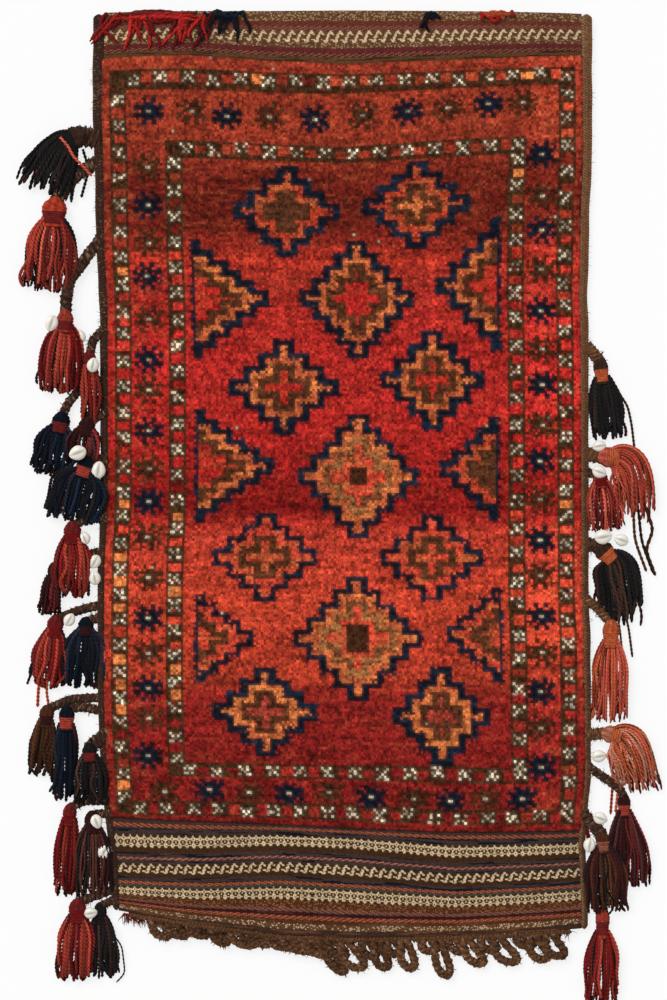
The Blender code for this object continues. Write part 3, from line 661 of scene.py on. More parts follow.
class Panel:
    """A panel woven of cells, each with one dye, as a thin closed slab.

    The upper side has one quad to a cell. The lower side is eight times coarser, and the walls'
    faces join the two without gaps.
    """

    COARSE = 8

    def __init__(self, top: Array, bottom: Array, cells: Array,
                 blur: float) -> None:
        """Keep the panel's points and cells.

        Args:
            top: (rows + 1, columns + 1, 3) points of the upper side.
            bottom: points of the lower side, of the same shape.
            cells: (rows, columns, 3) dyes.
            blur: share of each corner's colour that its four cells have in common.
        """
        self.top = top
        self.bottom = bottom
        self.cells = cells
        self.blur = blur

    def corner_dyes(self) -> Array:
        """Colour at the four corners of each cell, (rows, columns, 4, 3)."""
        padded = np.pad(self.cells, ((1, 1), (1, 1), (0, 0)), "edge")
        shared = 0.25 * (padded[:-1, :-1] + padded[1:, :-1] + padded[:-1, 1:] + padded[1:, 1:])
        around = np.stack([shared[:-1, :-1], shared[1:, :-1], shared[1:, 1:], shared[:-1, 1:]],
                          axis=2)
        return (1 - self.blur) * self.cells[:, :, None] + self.blur * around

    def add_to(self, stock: Stock) -> None:
        """Add the slab to a stock of patches."""
        rows, columns = self.cells.shape[:2]
        step = self.COARSE
        quads = grid_faces(rows + 1, columns + 1)
        top = self.top.reshape(-1, 3)
        flat = top[:, :2]
        start = stock.count
        stock.add(top, quads, self.corner_dyes().reshape(-1, 4, 3), flat[quads])
        under = self.bottom[::step, ::step]
        low_rows, low_columns = under.shape[:2]
        low = grid_faces(low_rows, low_columns)[:, ::-1]
        # Painted shade: the lower side takes the panel's mean dye at 0.4, darkened as in the shadow
        # under the slab.
        back = np.broadcast_to(self.cells.mean(axis=(0, 1)) * 0.4, (len(low), 4, 3))
        points = under.reshape(-1, 3)
        stock.add(points, low, back, points[:, :2][low])
        upper = np.arange(len(top)).reshape(rows + 1, columns + 1) + start
        lower = np.arange(len(points)).reshape(low_rows, low_columns) + start + len(top)
        rims = ((upper[0, ::-1], lower[0, ::-1]), (upper[-1], lower[-1]),
                (upper[:, 0], lower[:, 0]), (upper[::-1, -1], lower[::-1, -1]))
        all_points = np.concatenate(stock.points)
        edge_dyes = np.concatenate([self.cells[0, ::-1], self.cells[-1], self.cells[:, 0],
                                    self.cells[::-1, -1]])
        offset = 0
        for high_rim, low_rim in rims:
            count = len(low_rim) - 1
            spans = np.arange(count)[:, None] * step + np.arange(step + 1)
            walls = np.concatenate([low_rim[:-1, None], low_rim[1:, None],
                                    high_rim[spans][:, ::-1]], axis=1)
            stock.faces += walls.tolist()
            # Painted shade: each wall takes its edge cells' dyes at 0.6, darkened as on the slab's
            # shaded sides.
            shades = edge_dyes[offset:offset + count * step].reshape(count, step, 3).mean(axis=1)
            stock.dyes.append(np.repeat(shades * 0.6, step + 3, axis=0))
            stock.weaves.append(all_points[walls.ravel()][:, :2])
            offset += count * step


ROSETTE_CHARTS = (
    ("...##..##...", "...##..##...", ".#..####..#.", "############", "############",
     "..###oo###..", "############", "############", ".#..####..#.", "...##..##...",
     "...##..##..."),
    ("...#...##...", "..###..##.#.", "#..######.##", "############", ".##########.",
     "..###oo###..", "###########.", "############", "#..#####..##", "..###..##...",
     "...#...##..."),
)
CROSS_CHARTS = (
    ("#..#.", ".#.#.", "..#..", "#..##"),
    ("#...#", ".#.#.", "..#..", ".#..#"),
    (".#..#", "#.#..", "..##.", "#...#"),
    ("##..#", "..#..", ".#.#.", "#...#"),
    ("#..#.", ".##.#", "..#..", ".#.##"),
    ("#...#", ".#.#.", "..#..", ".#.#.", "#..##"),
)


@dataclass(frozen=True)
class Guard:
    """A guard border, in knots.

    Its four sides are given by their middle column or row. Each row has the knots it reaches up
    and down. Figures run across from lead knots inside the left side, and down from drop knots
    below the upper side.
    """

    left: int
    right: int
    top: int
    bottom: int
    top_reach: tuple[int, int]
    bottom_reach: tuple[int, int]
    across: int
    down: int
    lead: int = 5
    drop: int = 9
    reach: int = 3


OUTER_GUARD = Guard(6, 185, 8, 298, (3, 4), (3, 2), 17, 28, lead=6)
INNER_GUARD = Guard(28, 165, 36, 282, (3, 3), (3, 2), 13, 24, drop=6)


@dataclass(frozen=True)
class Medallion:
    """A stepped diamond: its middle and half sizes in millimetres, its steps and its rings.

    A point's depth is the largest, over the steps, of the smaller of step width less distance
    across and 1.25 times step height less distance up. Rings are depths at which the dye
    changes. A half medallion ends in a straight navy line.
    """

    x: float
    y: float
    half_width: float
    half_height: float
    steps: int
    rings: tuple[tuple[float, Dye], ...]
    cut: int = 0
    square: tuple[float, float] = (0.0, 0.0)

    TIP = (11.0, 9.0)
    STEEPER = 1.25
    CUT_LINE = 3.0

    def depth(self, across: Array, up: Array) -> Array:
        """Depth of points inside the outline, in millimetres."""
        tip_width, tip_height = self.TIP
        best = np.full(across.shape, -tip_height)
        for step in range(self.steps + 1):
            share = step / self.steps
            wide = tip_width + (self.half_width - tip_width) * share
            high = tip_height + (self.half_height - tip_height) * (1 - share)
            inside_up = self.STEEPER * (high - np.abs(up))
            best = np.maximum(best, np.minimum(wide - np.abs(across), inside_up))
        if self.cut:
            inside = self.cut * across
            best = np.where(inside < self.CUT_LINE, np.minimum(best, 1.5 * inside), best)
        return best


NAVY_RIM = (0.0, Dye.NAVY)
ORANGE_SET = (NAVY_RIM, (8.2, Dye.ORANGE), (14.3, Dye.WALNUT), (22.3, Dye.RED))
BRICK_SET = (NAVY_RIM, (8.2, Dye.BRICK), (14.8, Dye.WALNUT))
CROSS_SET = (NAVY_RIM, (8.2, Dye.BRICK), (14.8, Dye.WALNUT), (22.5, Dye.ORANGE))
FINE_SET = (NAVY_RIM, (6.2, Dye.SCARLET), (13.0, Dye.WALNUT), (20.8, Dye.SCARLET))
WIDE_SET = (NAVY_RIM, (6.6, Dye.ORANGE), (13.4, Dye.TAN), (20.5, Dye.SCARLET))
PALE_SET = (NAVY_RIM, (8.0, Dye.APRICOT), (14.3, Dye.WALNUT), (21.5, Dye.RUST))
MEDALLIONS = (
    Medallion(-58, 266, 53, 46, 3, BRICK_SET),
    Medallion(71, 273, 54, 44, 3, CROSS_SET),
    Medallion(-152, 180, 78, 59, 5, ORANGE_SET, cut=1),
    Medallion(13, 179, 57, 60, 4, ORANGE_SET),
    Medallion(155, 192, 65, 66, 4, ORANGE_SET, cut=-1),
    Medallion(-62, 90, 56, 48, 3, ORANGE_SET),
    Medallion(87, 98, 52, 50, 3, ORANGE_SET),
    Medallion(-149, 13, 79, 57, 5, ORANGE_SET, cut=1),
    Medallion(13, 1, 60, 62, 4, WIDE_SET, square=(8, 10)),
    Medallion(155, 8, 60, 52, 4, BRICK_SET, cut=-1),
    Medallion(-79, -79, 52, 44, 3, FINE_SET),
    Medallion(87, -79, 51, 43, 3, FINE_SET),
    Medallion(-150, -161, 58, 45, 4, FINE_SET, cut=1),
    Medallion(12, -160, 64, 62, 4, WIDE_SET, square=(11, 13)),
    Medallion(158, -157, 56, 47, 4, FINE_SET, cut=-1),
    Medallion(-79, -234, 52, 45, 3, PALE_SET),
    Medallion(95, -238, 48, 49, 3, PALE_SET),
)


@dataclass
class PileFace:
    """The knotted pile: one cell to a knot, coloured by the rules of its pattern."""

    shape: BagShape
    columns: int = 192
    rows: int = 304
    top: float = 57.0
    bottom: float = 827.0
    thickness: float = 4.6 * MM
    relief: float = 0.7 * MM
    overlap: float = 0.6 * MM
    gap: float = 0.35 * MM
    nap: float = 0.42 * MM
    jitter: float = 0.12 * MM
    blur: float = 0.32
    seed: int = 7

    # Limits of the inner field, and middles of the side borders' rosettes, in millimetres
    FIELD = (-157, 161)
    SIDE_BORDERS = (-195, 197)
    # Shares of knots: lost from guards, blue and brown rosettes; pale and orange specks
    BARE = 0.10
    LOST_BLUE = 0.03
    LOST_BROWN = 0.12
    PALE_SPECKS = 0.0003
    ORANGE_SPECKS = 0.03
    # Shares of bright squares in the guards: low on the left side, and elsewhere
    BRIGHT_LOW_LEFT = 0.45
    BRIGHT_ELSEWHERE = 0.02

    # Ground colours down the front: v, then the dye in screen values
    ABRASH = (
        (57, (150, 52, 34)), (112, (150, 54, 34)), (160, (138, 46, 30)), (182, (105, 29, 19)),
        (226, (108, 30, 20)), (244, (148, 42, 30)), (262, (184, 50, 35)), (278, (162, 46, 34)),
        (300, (166, 41, 33)), (345, (178, 39, 34)), (410, (176, 38, 33)), (455, (160, 31, 27)),
        (480, (146, 28, 24)), (508, (134, 22, 21)), (522, (168, 42, 33)), (536, (190, 60, 43)),
        (610, (194, 64, 41)), (645, (180, 57, 38)), (680, (166, 54, 34)), (694, (142, 34, 28)),
        (745, (130, 28, 25)), (827, (122, 27, 23)),
    )
    TOP_ROSETTES = ((-194, 366), (-153, 366), (-116, 361), (-74, 360), (-28, 358), (20, 363),
                    (65, 366), (105, 370), (144, 374), (180, 375))
    BOTTOM_ROSETTES = ((-178, -313), (-134, -312), (-95, -313), (-55, -314), (-15, -313),
                       (27, -319), (69, -322), (107, -322), (141, -322), (179, -321))
    LEFT_ROSETTES = (311, 273, 234, 201, 160, 118, 87, 47, 10, -24, -60, -99, -139, -176, -209,
                     -239, -278)
    RIGHT_ROSETTES = (323, 282, 249, 208, 166, 129, 92, 53, 17, -22, -63, -97, -139, -175, -213,
                      -250, -288)

    def cells(self) -> tuple[Array, Array]:
        """Middles of the knots: place across in millimetres, and v."""
        u = (np.arange(self.columns) + 0.5) / self.columns
        v = self.top + (np.arange(self.rows) + 0.5) / self.rows * (self.bottom - self.top)
        across, down = np.meshgrid(u, v)
        return self.shape.place(across, down)[0] / MM, down

    def stamp(self, dyes: Array, chart: tuple[str, ...], column: int, row: int,
              colour: Array, kept: Array | None = None) -> None:
        """Knot a small chart into the panel, middle first.

        Args:
            dyes: the panel.
            chart: lines of marks; # is knotted in the colour and o in cream.
            column: the chart's middle column.
            row: its middle row.
            colour: one dye, or one for each knot of the chart.
            kept: mask of the knots that are made, where some are left out.
        """
        marks = np.array([list(line) for line in chart])
        high, wide = marks.shape
        first_row, first_column = row - high // 2, column - wide // 2
        part = dyes[first_row:first_row + high, first_column:first_column + wide]
        mask = marks == "#" if kept is None else (marks == "#") & kept
        part[:] = np.where(mask[..., None], colour, part)
        part[marks == "o"] = 0.6 * Dye.CREAM.light

    def knot_at(self, x: float, y: float) -> tuple[int, int]:
        """Column and row of knots at a real place in millimetres."""
        u, v = self.shape.woven(x * MM, y * MM)
        return int(u * self.columns), int((v - self.top) / (self.bottom - self.top) * self.rows)

    def guard(self, rng: Random, dyes: Array, guard: Guard,
              ground: Array) -> None:
        """Knot a guard border: a dark band with cream crosses and red squares in turn."""
        dark = np.zeros(dyes.shape[:2], dtype=bool)
        reach = guard.reach
        sides = ((guard.top, guard.top_reach), (guard.bottom, guard.bottom_reach))
        for row, (up, down) in sides:
            dark[row - up:row + down + 1, guard.left - reach:guard.right + reach + 1] = True
        first_row, last_row = guard.top - guard.top_reach[0], guard.bottom + guard.bottom_reach[1]
        for column in (guard.left, guard.right):
            dark[first_row:last_row + 1, column - reach:column + reach + 1] = True
        bare = rng.random(dark.shape) < self.BARE
        band = Dye.UMBER.light * rng.uniform(0.75, 1.45, dark.shape)[..., None]
        dyes[:] = np.where((dark & ~bare)[..., None], band, dyes)
        dyes[:] = np.where((dark & bare)[..., None], 0.5 * ground, dyes)
        across = np.linspace(guard.left + guard.lead, guard.right, guard.across)
        upright = np.linspace(guard.top + guard.drop, guard.bottom - 4, guard.down)
        for row in (guard.top, guard.bottom):
            self.crosses(rng, dyes, ground, across, np.full(across.shape, row))
        for column in (guard.left, guard.right):
            self.crosses(rng, dyes, ground, np.full(upright.shape, column), upright)

    def crosses(self, rng: Random, dyes: Array, ground: Array,
                columns: Array, rows: Array) -> None:
        """Knot a run of crosses and the squares between them, each a little out of true."""
        for column, row in zip(0.5 * (columns[1:] + columns[:-1]), 0.5 * (rows[1:] + rows[:-1])):
            column, row = round(column), round(row)
            wide, high = rng.integers(1, 3, 2)
            square = dyes[row - high:row + 2, column - wide:column + 3]
            low_left = row > 160 and column < 60 and rows[0] < rows[-1]
            share = self.BRIGHT_LOW_LEFT if low_left else self.BRIGHT_ELSEWHERE
            bright = Dye.APRICOT.light if rng.random() < share else 1.1 * ground[row, column]
            square[:] = bright * rng.uniform(0.8, 1.3)
        for column, row in zip(columns, rows):
            chart = CROSS_CHARTS[rng.integers(len(CROSS_CHARTS))]
            if rng.random() < 0.5:
                chart = chart[::-1]
            if rng.random() < 0.5:
                chart = tuple(line[::-1] for line in chart)
            shape = (len(chart), len(chart[0]), 1)
            cream = Dye.CREAM.light * rng.choice([0.45, 0.8, 1.0], shape)
            kept = rng.random(shape[:2]) > 0.1
            shift = rng.integers(-1, 2) if rng.random() < 0.4 else 0
            self.stamp(dyes, chart, round(column), round(row) + shift, cream, kept)

    def ground(self, rng: Random, x: Array, v: Array) -> Array:
        """Dye of the ground: bands down the front, made uneven by runs of other yarn.

        Orange yarn is worked in, most in the borders and near the top, and darker yarn all over.
        Lighter and darker runs go down and across, and the right edge is lighter.

        Args:
            rng: random numbers for the runs.
            x: places across of the knots, in millimetres.
            v: their woven heights.

        Returns:
            (rows, columns, 3) dyes.
        """
        rows, columns = v.shape
        levels = np.array([line[0] for line in self.ABRASH], dtype=float)
        shades = np.array([screen(*line[1]) for line in self.ABRASH])
        place = v + 9 * (streaks(rng, rows, columns, 26) - 0.5)
        ground = np.stack([np.interp(place, levels, shades[:, axis]) for axis in range(3)], axis=-1)
        border = np.clip((np.abs(x + 4) - 165) / 20, 0, 1)
        upper = np.clip((240 - v) / 40, 0, 1)
        warm = np.clip((streaks(rng, rows, columns, 4) - 0.56) * 4, 0, 1)
        warm = (warm * np.clip(0.28 + 0.45 * border + 0.35 * upper, 0, 0.85))[..., None]
        ground = ground * (1 - warm) + warm * (0.5 * ground + 0.5 * Dye.ORANGE.light)
        deep = np.clip((0.38 - streaks(rng, rows, columns, 10)) * 3.5, 0, 1)[..., None]
        ground = ground * (1 - 0.5 * deep)
        upright = streaks(rng, columns, rows, 24).T[..., None]
        level = streaks(rng, rows, columns, 14)[..., None]
        ground = ground * (0.84 + 0.32 * upright) * (0.68 + 0.64 * level)
        return ground * (1 + 0.35 * np.clip((x - 178) / 10, 0, 1)[..., None])

    def pattern(self) -> tuple[Array, Array]:
        """Dye of each knot, and which knots stand a little proud.

        Returns:
            (rows, columns, 3) dyes and a (rows, columns) mask.
        """
        rng = np.random.default_rng(self.seed)
        x, v = self.cells()
        ground = self.ground(rng, x, v)
        dyes = ground.copy()
        for guard in (OUTER_GUARD, INNER_GUARD):
            self.guard(rng, dyes, guard, ground)
        self.rosettes(rng, dyes)
        proud = np.zeros(v.shape, dtype=bool)
        field = (x > self.FIELD[0]) & (x < self.FIELD[1])
        for medallion in MEDALLIONS:
            self.knot_medallion(rng, dyes, proud, medallion, field)
        speck = rng.random(v.shape)[..., None]
        dyes = np.where(speck < self.PALE_SPECKS, Dye.CREAM.light * 0.5, dyes)
        dyes = np.where(speck > 1 - self.ORANGE_SPECKS, dyes + 0.12 * Dye.ORANGE.light, dyes)
        return tint(rng, dyes, 0.43), proud

    def rosettes(self, rng: Random, dyes: Array) -> None:
        """Knot the border of rosettes, navy and brown in turn, each with a cream middle.

        The brown yarn has lost knots, so that the ground shows through it.
        """
        places = [(x, y, number % 2 == 0) for number, (x, y) in enumerate(self.TOP_ROSETTES)]
        places += [(x, y, number in (1, 3, 5, 7, 9))
                   for number, (x, y) in enumerate(self.BOTTOM_ROSETTES)]
        left, right = self.SIDE_BORDERS
        places += [(left, y, number in (1, 3, 5, 7, 9, 12, 14, 16))
                   for number, y in enumerate(self.LEFT_ROSETTES)]
        places += [(right, y, number % 2 == 0) for number, y in enumerate(self.RIGHT_ROSETTES)]
        for x, y, blue in places:
            column, row = self.knot_at(x, y)
            chart = ROSETTE_CHARTS[rng.integers(len(ROSETTE_CHARTS))][::rng.choice([-1, 1])]
            if y < -300:
                chart = chart[1:-1]
            shape = (len(chart), len(chart[0]))
            base = Dye.NAVY.light if blue else 0.72 * Dye.WALNUT.light
            colour = base * rng.uniform(0.7, 1.5, (*shape, 1))
            kept = rng.random(shape) > (self.LOST_BLUE if blue else self.LOST_BROWN)
            self.stamp(dyes, chart, column, row, colour, kept)

    def knot_medallion(self, rng: Random, dyes: Array, proud: Array,
                       medallion: Medallion, field: Array) -> None:
        """Knot one stepped diamond, each ring with its own run of lighter and darker yarn."""
        column, row = self.knot_at(medallion.x, medallion.y)
        width = self.shape.cloth_edge(1, 0.0) - self.shape.cloth_edge(-1, 0.0)
        step_x = width / MM / self.columns
        step_y = (self.bottom - self.top) / self.rows
        across = (np.arange(self.columns) - column) * step_x
        up = (np.arange(self.rows) - row) * step_y
        depth = medallion.depth(*np.meshgrid(across, up))
        depth = depth + 0.6 * rng.standard_normal(depth.shape)
        for start, dye in medallion.rings:
            ring = (depth > start) & field
            run = streaks(rng, self.rows, self.columns, 9)[..., None]
            base = dye.light
            second = SECOND_YARN.get(dye, base)
            share = np.clip((run - 0.45) * 4, 0, 1)
            colour = base * (1 - share) + second * share
            dyes[ring] = colour[ring]
            proud[ring] = dye in (Dye.NAVY, Dye.WALNUT)
        half_x, half_y = medallion.square
        middle = (np.abs(across)[None, :] < half_x) & (np.abs(up)[:, None] < half_y)
        dyes[middle] = Dye.WALNUT.light * 0.75

    def build(self, finish: Material) -> Piece:
        """Make the pile's slab on the crown of the front cloth, with rounded edges."""
        dyes, proud = self.pattern()
        rng = np.random.default_rng(self.seed + 1)
        u = np.linspace(0, 1, self.columns + 1)
        v = np.linspace(self.top, self.bottom, self.rows + 1)
        across, down = np.meshgrid(u, v)
        x, y = self.shape.place(across, down, self.overlap)
        base = self.shape.crown(x, y) + self.gap
        rim = np.minimum(np.minimum(across, 1 - across) * self.columns,
                         np.minimum(down - self.top, self.bottom - down) / 2.5)
        full = 0.5 + 0.5 * np.clip(rim / 2.2, 0, 1) ** 0.6
        step = np.pad(proud.astype(float), 1, "edge")
        step = 0.25 * (step[:-1, :-1] + step[1:, :-1] + step[:-1, 1:] + step[1:, 1:])
        nap = self.nap * rng.standard_normal(x.shape)
        z = base + self.thickness * full + self.relief * step + nap
        top = np.stack([x + self.jitter * rng.standard_normal(x.shape),
                        y + self.jitter * rng.standard_normal(x.shape), z], axis=-1)
        bottom = np.stack([x, y, base], axis=-1)
        stock = Stock()
        Panel(top, bottom, dyes, self.blur).add_to(stock)
        return stock.make("pile_face", finish, "knotted_pile")


SECOND_YARN = {
    Dye.NAVY: Dye.BLUE.light,
    Dye.ORANGE: Dye.APRICOT.light,
    Dye.APRICOT: Dye.ORANGE.light,
    Dye.WALNUT: Dye.WALNUT.light * 1.5,
    Dye.BRICK: Dye.ORANGE.light,
    Dye.RED: Dye.BRICK.light,
    Dye.TAN: Dye.WALNUT.light * 2.0,
    Dye.SCARLET: Dye.ORANGE.light * 1.1,
}

SCROLL_CHART = (
    ".....##.", "....####", "#..##..#", "...##...", "..###...", "..##....", "#.##..##", "####....",
    ".##.....",
)
LATTICE_CHART = ("..#...", ".###..", "##.###", ".###..", "..#..#", "..#..#", ".###..", "##.###",
                 ".###..", "..#...")


class Weave(Enum):
    """Kinds of line in the flat-woven bands."""

    PLAIN = "plain"
    DOTTED = "dotted"
    TWINED = "twined"
    SCROLL = "scroll"
    LATTICE = "lattice"


@dataclass(frozen=True)
class Stripe:
    """One line of flat weave.

    It starts and ends at two heights in v and has a kind, two dyes and, where it is twined, a
    lean of its dashes: +1 down to the right, -1 down to the left.
    """

    start: float
    end: float
    kind: Weave
    ground: Dye
    figure: Dye
    lean: int = 1


def stripes(top: float, *looks: tuple) -> tuple[Stripe, ...]:
    """Stripes that follow one another down from a height, each given by its end and its look."""
    made = []
    for end, *look in looks:
        made.append(Stripe(top, end, *look))
        top = end
    return tuple(made)


MOUTH_STRIPES = stripes(
    827,
    (831.2, Weave.PLAIN, Dye.SLATE, Dye.PURPLE),
    (834.4, Weave.TWINED, Dye.SLATE, Dye.ORANGE),
    (840.1, Weave.PLAIN, Dye.SLATE, Dye.NAVY),
    (851.6, Weave.LATTICE, Dye.UMBER, Dye.SAND),
    (856.8, Weave.DOTTED, Dye.UMBER, Dye.WALNUT),
    (861.0, Weave.PLAIN, Dye.SLATE, Dye.NAVY),
    (863.6, Weave.TWINED, Dye.PURPLE, Dye.PINK, -1),
    (867.4, Weave.PLAIN, Dye.SLATE, Dye.NAVY),
    (877.3, Weave.SCROLL, Dye.UMBER, Dye.SAND),
    (881.9, Weave.DOTTED, Dye.UMBER, Dye.WALNUT),
    (887.2, Weave.PLAIN, Dye.SLATE, Dye.NAVY),
    (890.3, Weave.TWINED, Dye.SLATE, Dye.ORANGE),
    (893.5, Weave.TWINED, Dye.SLATE, Dye.GREEN, -1),
    (905.0, Weave.LATTICE, Dye.UMBER, Dye.SAND),
    (911.3, Weave.DOTTED, Dye.WALNUT, Dye.TAN),
    (914.2, Weave.TWINED, Dye.SLATE, Dye.CLAY),
    (917.8, Weave.PLAIN, Dye.MAROON, Dye.PURPLE),
    (920.8, Weave.TWINED, Dye.SLATE, Dye.ORANGE, -1),
    (924.0, Weave.PLAIN, Dye.WALNUT, Dye.WARM_HAIR),
    (928.5, Weave.DOTTED, Dye.WARM_HAIR, Dye.SAND),
    (933, Weave.PLAIN, Dye.HAIR, Dye.WARM_HAIR),
)
FOLD_STRIPES = stripes(
    2,
    (11, Weave.PLAIN, Dye.WARM_HAIR, Dye.HAIR),
    (20, Weave.DOTTED, Dye.WARM_HAIR, Dye.BEIGE),
    (24, Weave.TWINED, Dye.WARM_HAIR, Dye.WINE, -1),
    (28, Weave.TWINED, Dye.PURPLE, Dye.CLAY, -1),
    (39, Weave.SCROLL, Dye.WARM_HAIR, Dye.SAND),
    (44, Weave.DOTTED, Dye.WARM_HAIR, Dye.BEIGE),
    (48, Weave.TWINED, Dye.PURPLE, Dye.WINE, -1),
    (51, Weave.TWINED, Dye.MAROON, Dye.CLAY, -1),
    (57.5, Weave.PLAIN, Dye.WARM_HAIR, Dye.UMBER),
)


@dataclass
class FlatWeave:
    """A flat-woven band across the front, one cell to a stitch."""

    shape: BagShape
    name: str
    stripes: tuple[Stripe, ...]
    rows: int
    columns: int = 400
    thickness: float = 0.7 * MM
    ridge: float = 0.35 * MM
    gap: float = 0.15 * MM
    unevenness: float = 0.08 * MM
    wrap: float = 16.0
    blur: float = 0.25
    seed: int = 11

    def chart_mask(self, chart: tuple[str, ...], lines: int) -> Array:
        """Repeat a chart across the band, stretched to its number of lines."""
        marks = np.array([[mark == "#" for mark in line] for line in chart])
        rows = (np.arange(lines) * len(chart) / lines).astype(int)
        return marks[rows][:, np.arange(self.columns) % marks.shape[1]]

    def stripe_mask(self, rng: Random, stripe: Stripe, lines: int) -> Array:
        """Which stitches of a stripe show its second dye.

        A twined line shows it in slanting dashes, every third stitch of six; a dotted one in
        loose specks; a plain one in streaks.
        """
        row, column = np.indices((lines, self.columns))
        if stripe.kind is Weave.TWINED:
            return (column - 2 * stripe.lean * row) % 6 < 3
        if stripe.kind is Weave.DOTTED:
            return (rng.random((lines, self.columns)) < 0.3) & (column % 2 == row % 2)
        if stripe.kind is Weave.PLAIN:
            return streaks(rng, lines, self.columns, 20) > 0.62
        charts = {Weave.SCROLL: SCROLL_CHART, Weave.LATTICE: LATTICE_CHART}
        worn = rng.random((lines, self.columns)) > 0.06
        return self.chart_mask(charts[stripe.kind], lines) & worn

    def build(self, finish: Material) -> Piece:
        """Make the band on the front cloth, its twined lines a little raised."""
        rng = np.random.default_rng(self.seed)
        top, bottom = self.stripes[0].start, self.stripes[-1].end
        levels = top + (np.arange(self.rows) + 0.5) / self.rows * (bottom - top)
        dyes = np.zeros((self.rows, self.columns, 3))
        raised = np.zeros(self.rows)
        for stripe in self.stripes:
            inside = (levels >= stripe.start) & (levels < stripe.end)
            figure = self.stripe_mask(rng, stripe, int(inside.sum()))[..., None]
            dyes[inside] = np.where(figure, stripe.figure.light, stripe.ground.light)
            raised[inside] = self.ridge if stripe.kind is Weave.TWINED else 0.0
        dyes = tint(rng, dyes, 0.2)
        u, v = np.meshgrid(np.linspace(0, 1, self.columns + 1),
                           np.linspace(top, bottom, self.rows + 1))
        fold = self.shape.fold_level
        x, y = self.shape.place(u, np.maximum(v, fold))
        base = self.shape.crown(x, y)
        radius = 0.5 * base
        fold_y = self.shape.height(u, np.full(u.shape, fold))
        past = np.clip((y - fold_y + radius) / radius, 0, 1)
        over = np.clip((fold - v) / self.wrap, 0, 1)
        turned = np.where(v < fold, -np.sin(0.5 * np.pi * over), np.sqrt(1 - past ** 2))
        lift = np.pad(raised, (0, 1), "edge")[:, None]
        z_low = radius + radius * turned + self.gap
        normal_y = np.where(v < fold, 1.0, past)
        normal_z = turned
        skin = self.thickness + lift + self.unevenness * rng.standard_normal(u.shape)
        high = np.stack([x, y + normal_y * skin, z_low + normal_z * skin], axis=-1)
        low = np.stack([x, y + normal_y * self.gap, z_low], axis=-1)
        stock = Stock()
        Panel(high, low, dyes, self.blur).add_to(stock)
        return stock.make(self.name, finish)


@dataclass
class BagCloth:
    """The folded strip of cloth: plain striped back, fold, ground of the front, and lining."""

    shape: BagShape
    columns: int = 96
    front_rows: int = 90
    fold_rows: int = 14
    seed: int = 21

    def front_levels(self) -> Array:
        """Woven heights of the rows, from the mouth to the fold."""
        return np.linspace(self.shape.mouth_level, self.shape.fold_level, self.front_rows)

    def layer(self, inner: bool) -> Array:
        """Points of the outer or inner side of the strip, back first, then fold, then front.

        The back is flat. The fold is half a turn of cos and sin round the middle height, of the
        crown's half height. The inner side is the same path drawn in by the cloth's thickness.
        """
        shape = self.shape
        u = np.linspace(0, 1, self.columns)
        levels = self.front_levels()
        across, down = np.meshgrid(u, levels)
        x, y = shape.place(across, down)
        crown = shape.crown(x, y)
        skin = shape.cloth_thickness if inner else 0.0
        half = 0.5 * crown[-1]
        turn_y = y[-1] - half
        keep = y < turn_y
        y_straight = np.where(keep, y, turn_y)
        back = np.stack([x, y_straight, np.full(x.shape, skin)], axis=-1)
        angle = np.linspace(-0.5 * np.pi, 0.5 * np.pi, self.fold_rows + 2)[1:-1, None]
        reach = half - skin
        fold = np.stack([np.broadcast_to(x[-1], (self.fold_rows, self.columns)),
                         turn_y + reach * np.cos(angle), half + reach * np.sin(angle)], axis=-1)
        front = np.stack([x, y_straight, np.maximum(crown - skin, skin + 0.2 * MM)], axis=-1)
        front[..., 2] = np.where(keep, front[..., 2], crown[-1] - skin)
        return np.concatenate([back, fold, front[::-1]])

    def dyes(self, points: Array) -> Array:
        """Back colours: broad stripes of brown hair across, with thin red and navy lines."""
        rng = np.random.default_rng(self.seed)
        rows = points.shape[0]
        along = np.arange(rows)
        colours = np.tile(Dye.HAIR.light, (rows, 1))
        colours[along % 16 < 4] = Dye.WALNUT.light * 0.9
        colours[along % 16 == 9] = Dye.CRIMSON.light * 0.6
        colours[along % 16 == 12] = Dye.SLATE.light
        return tint(rng, np.broadcast_to(colours[:, None], points.shape), 0.12)

    def build(self, finish: Material, with_pieces: list) -> Piece:
        outer, inner = self.layer(False), self.layer(True)
        rows = outer.shape[0]
        ring = np.concatenate([outer, inner[::-1]])
        # Painted shade: the inner side, the lining, has the outer stripes darkened to 0.7.
        shades = np.concatenate([self.dyes(outer), self.dyes(inner)[::-1] * 0.7])
        stock = Stock()
        quads = grid_faces(2 * rows, self.columns)
        closing = np.stack([np.arange(self.columns - 1) + (2 * rows - 1) * self.columns,
                            np.arange(self.columns - 1),
                            np.arange(1, self.columns),
                            np.arange(1, self.columns) + (2 * rows - 1) * self.columns], axis=-1)
        index = np.arange(2 * rows * self.columns).reshape(2 * rows, self.columns)
        outside, inside = index[:rows], index[rows:][::-1]
        left = np.stack([outside[:-1, 0], inside[:-1, 0], inside[1:, 0], outside[1:, 0]], axis=-1)
        right = np.stack([outside[:-1, -1], outside[1:, -1], inside[1:, -1], inside[:-1, -1]],
                         axis=-1)
        faces = np.concatenate([quads[:, ::-1], closing[:, ::-1], left[:, ::-1], right[:, ::-1]])
        points = ring.reshape(-1, 3)
        flat = shades.reshape(-1, 3)
        stock.add(points, faces, flat[faces], points[:, :2][faces])
        made = stock.make("woven_strip", finish, "bag_cloth")
        return made


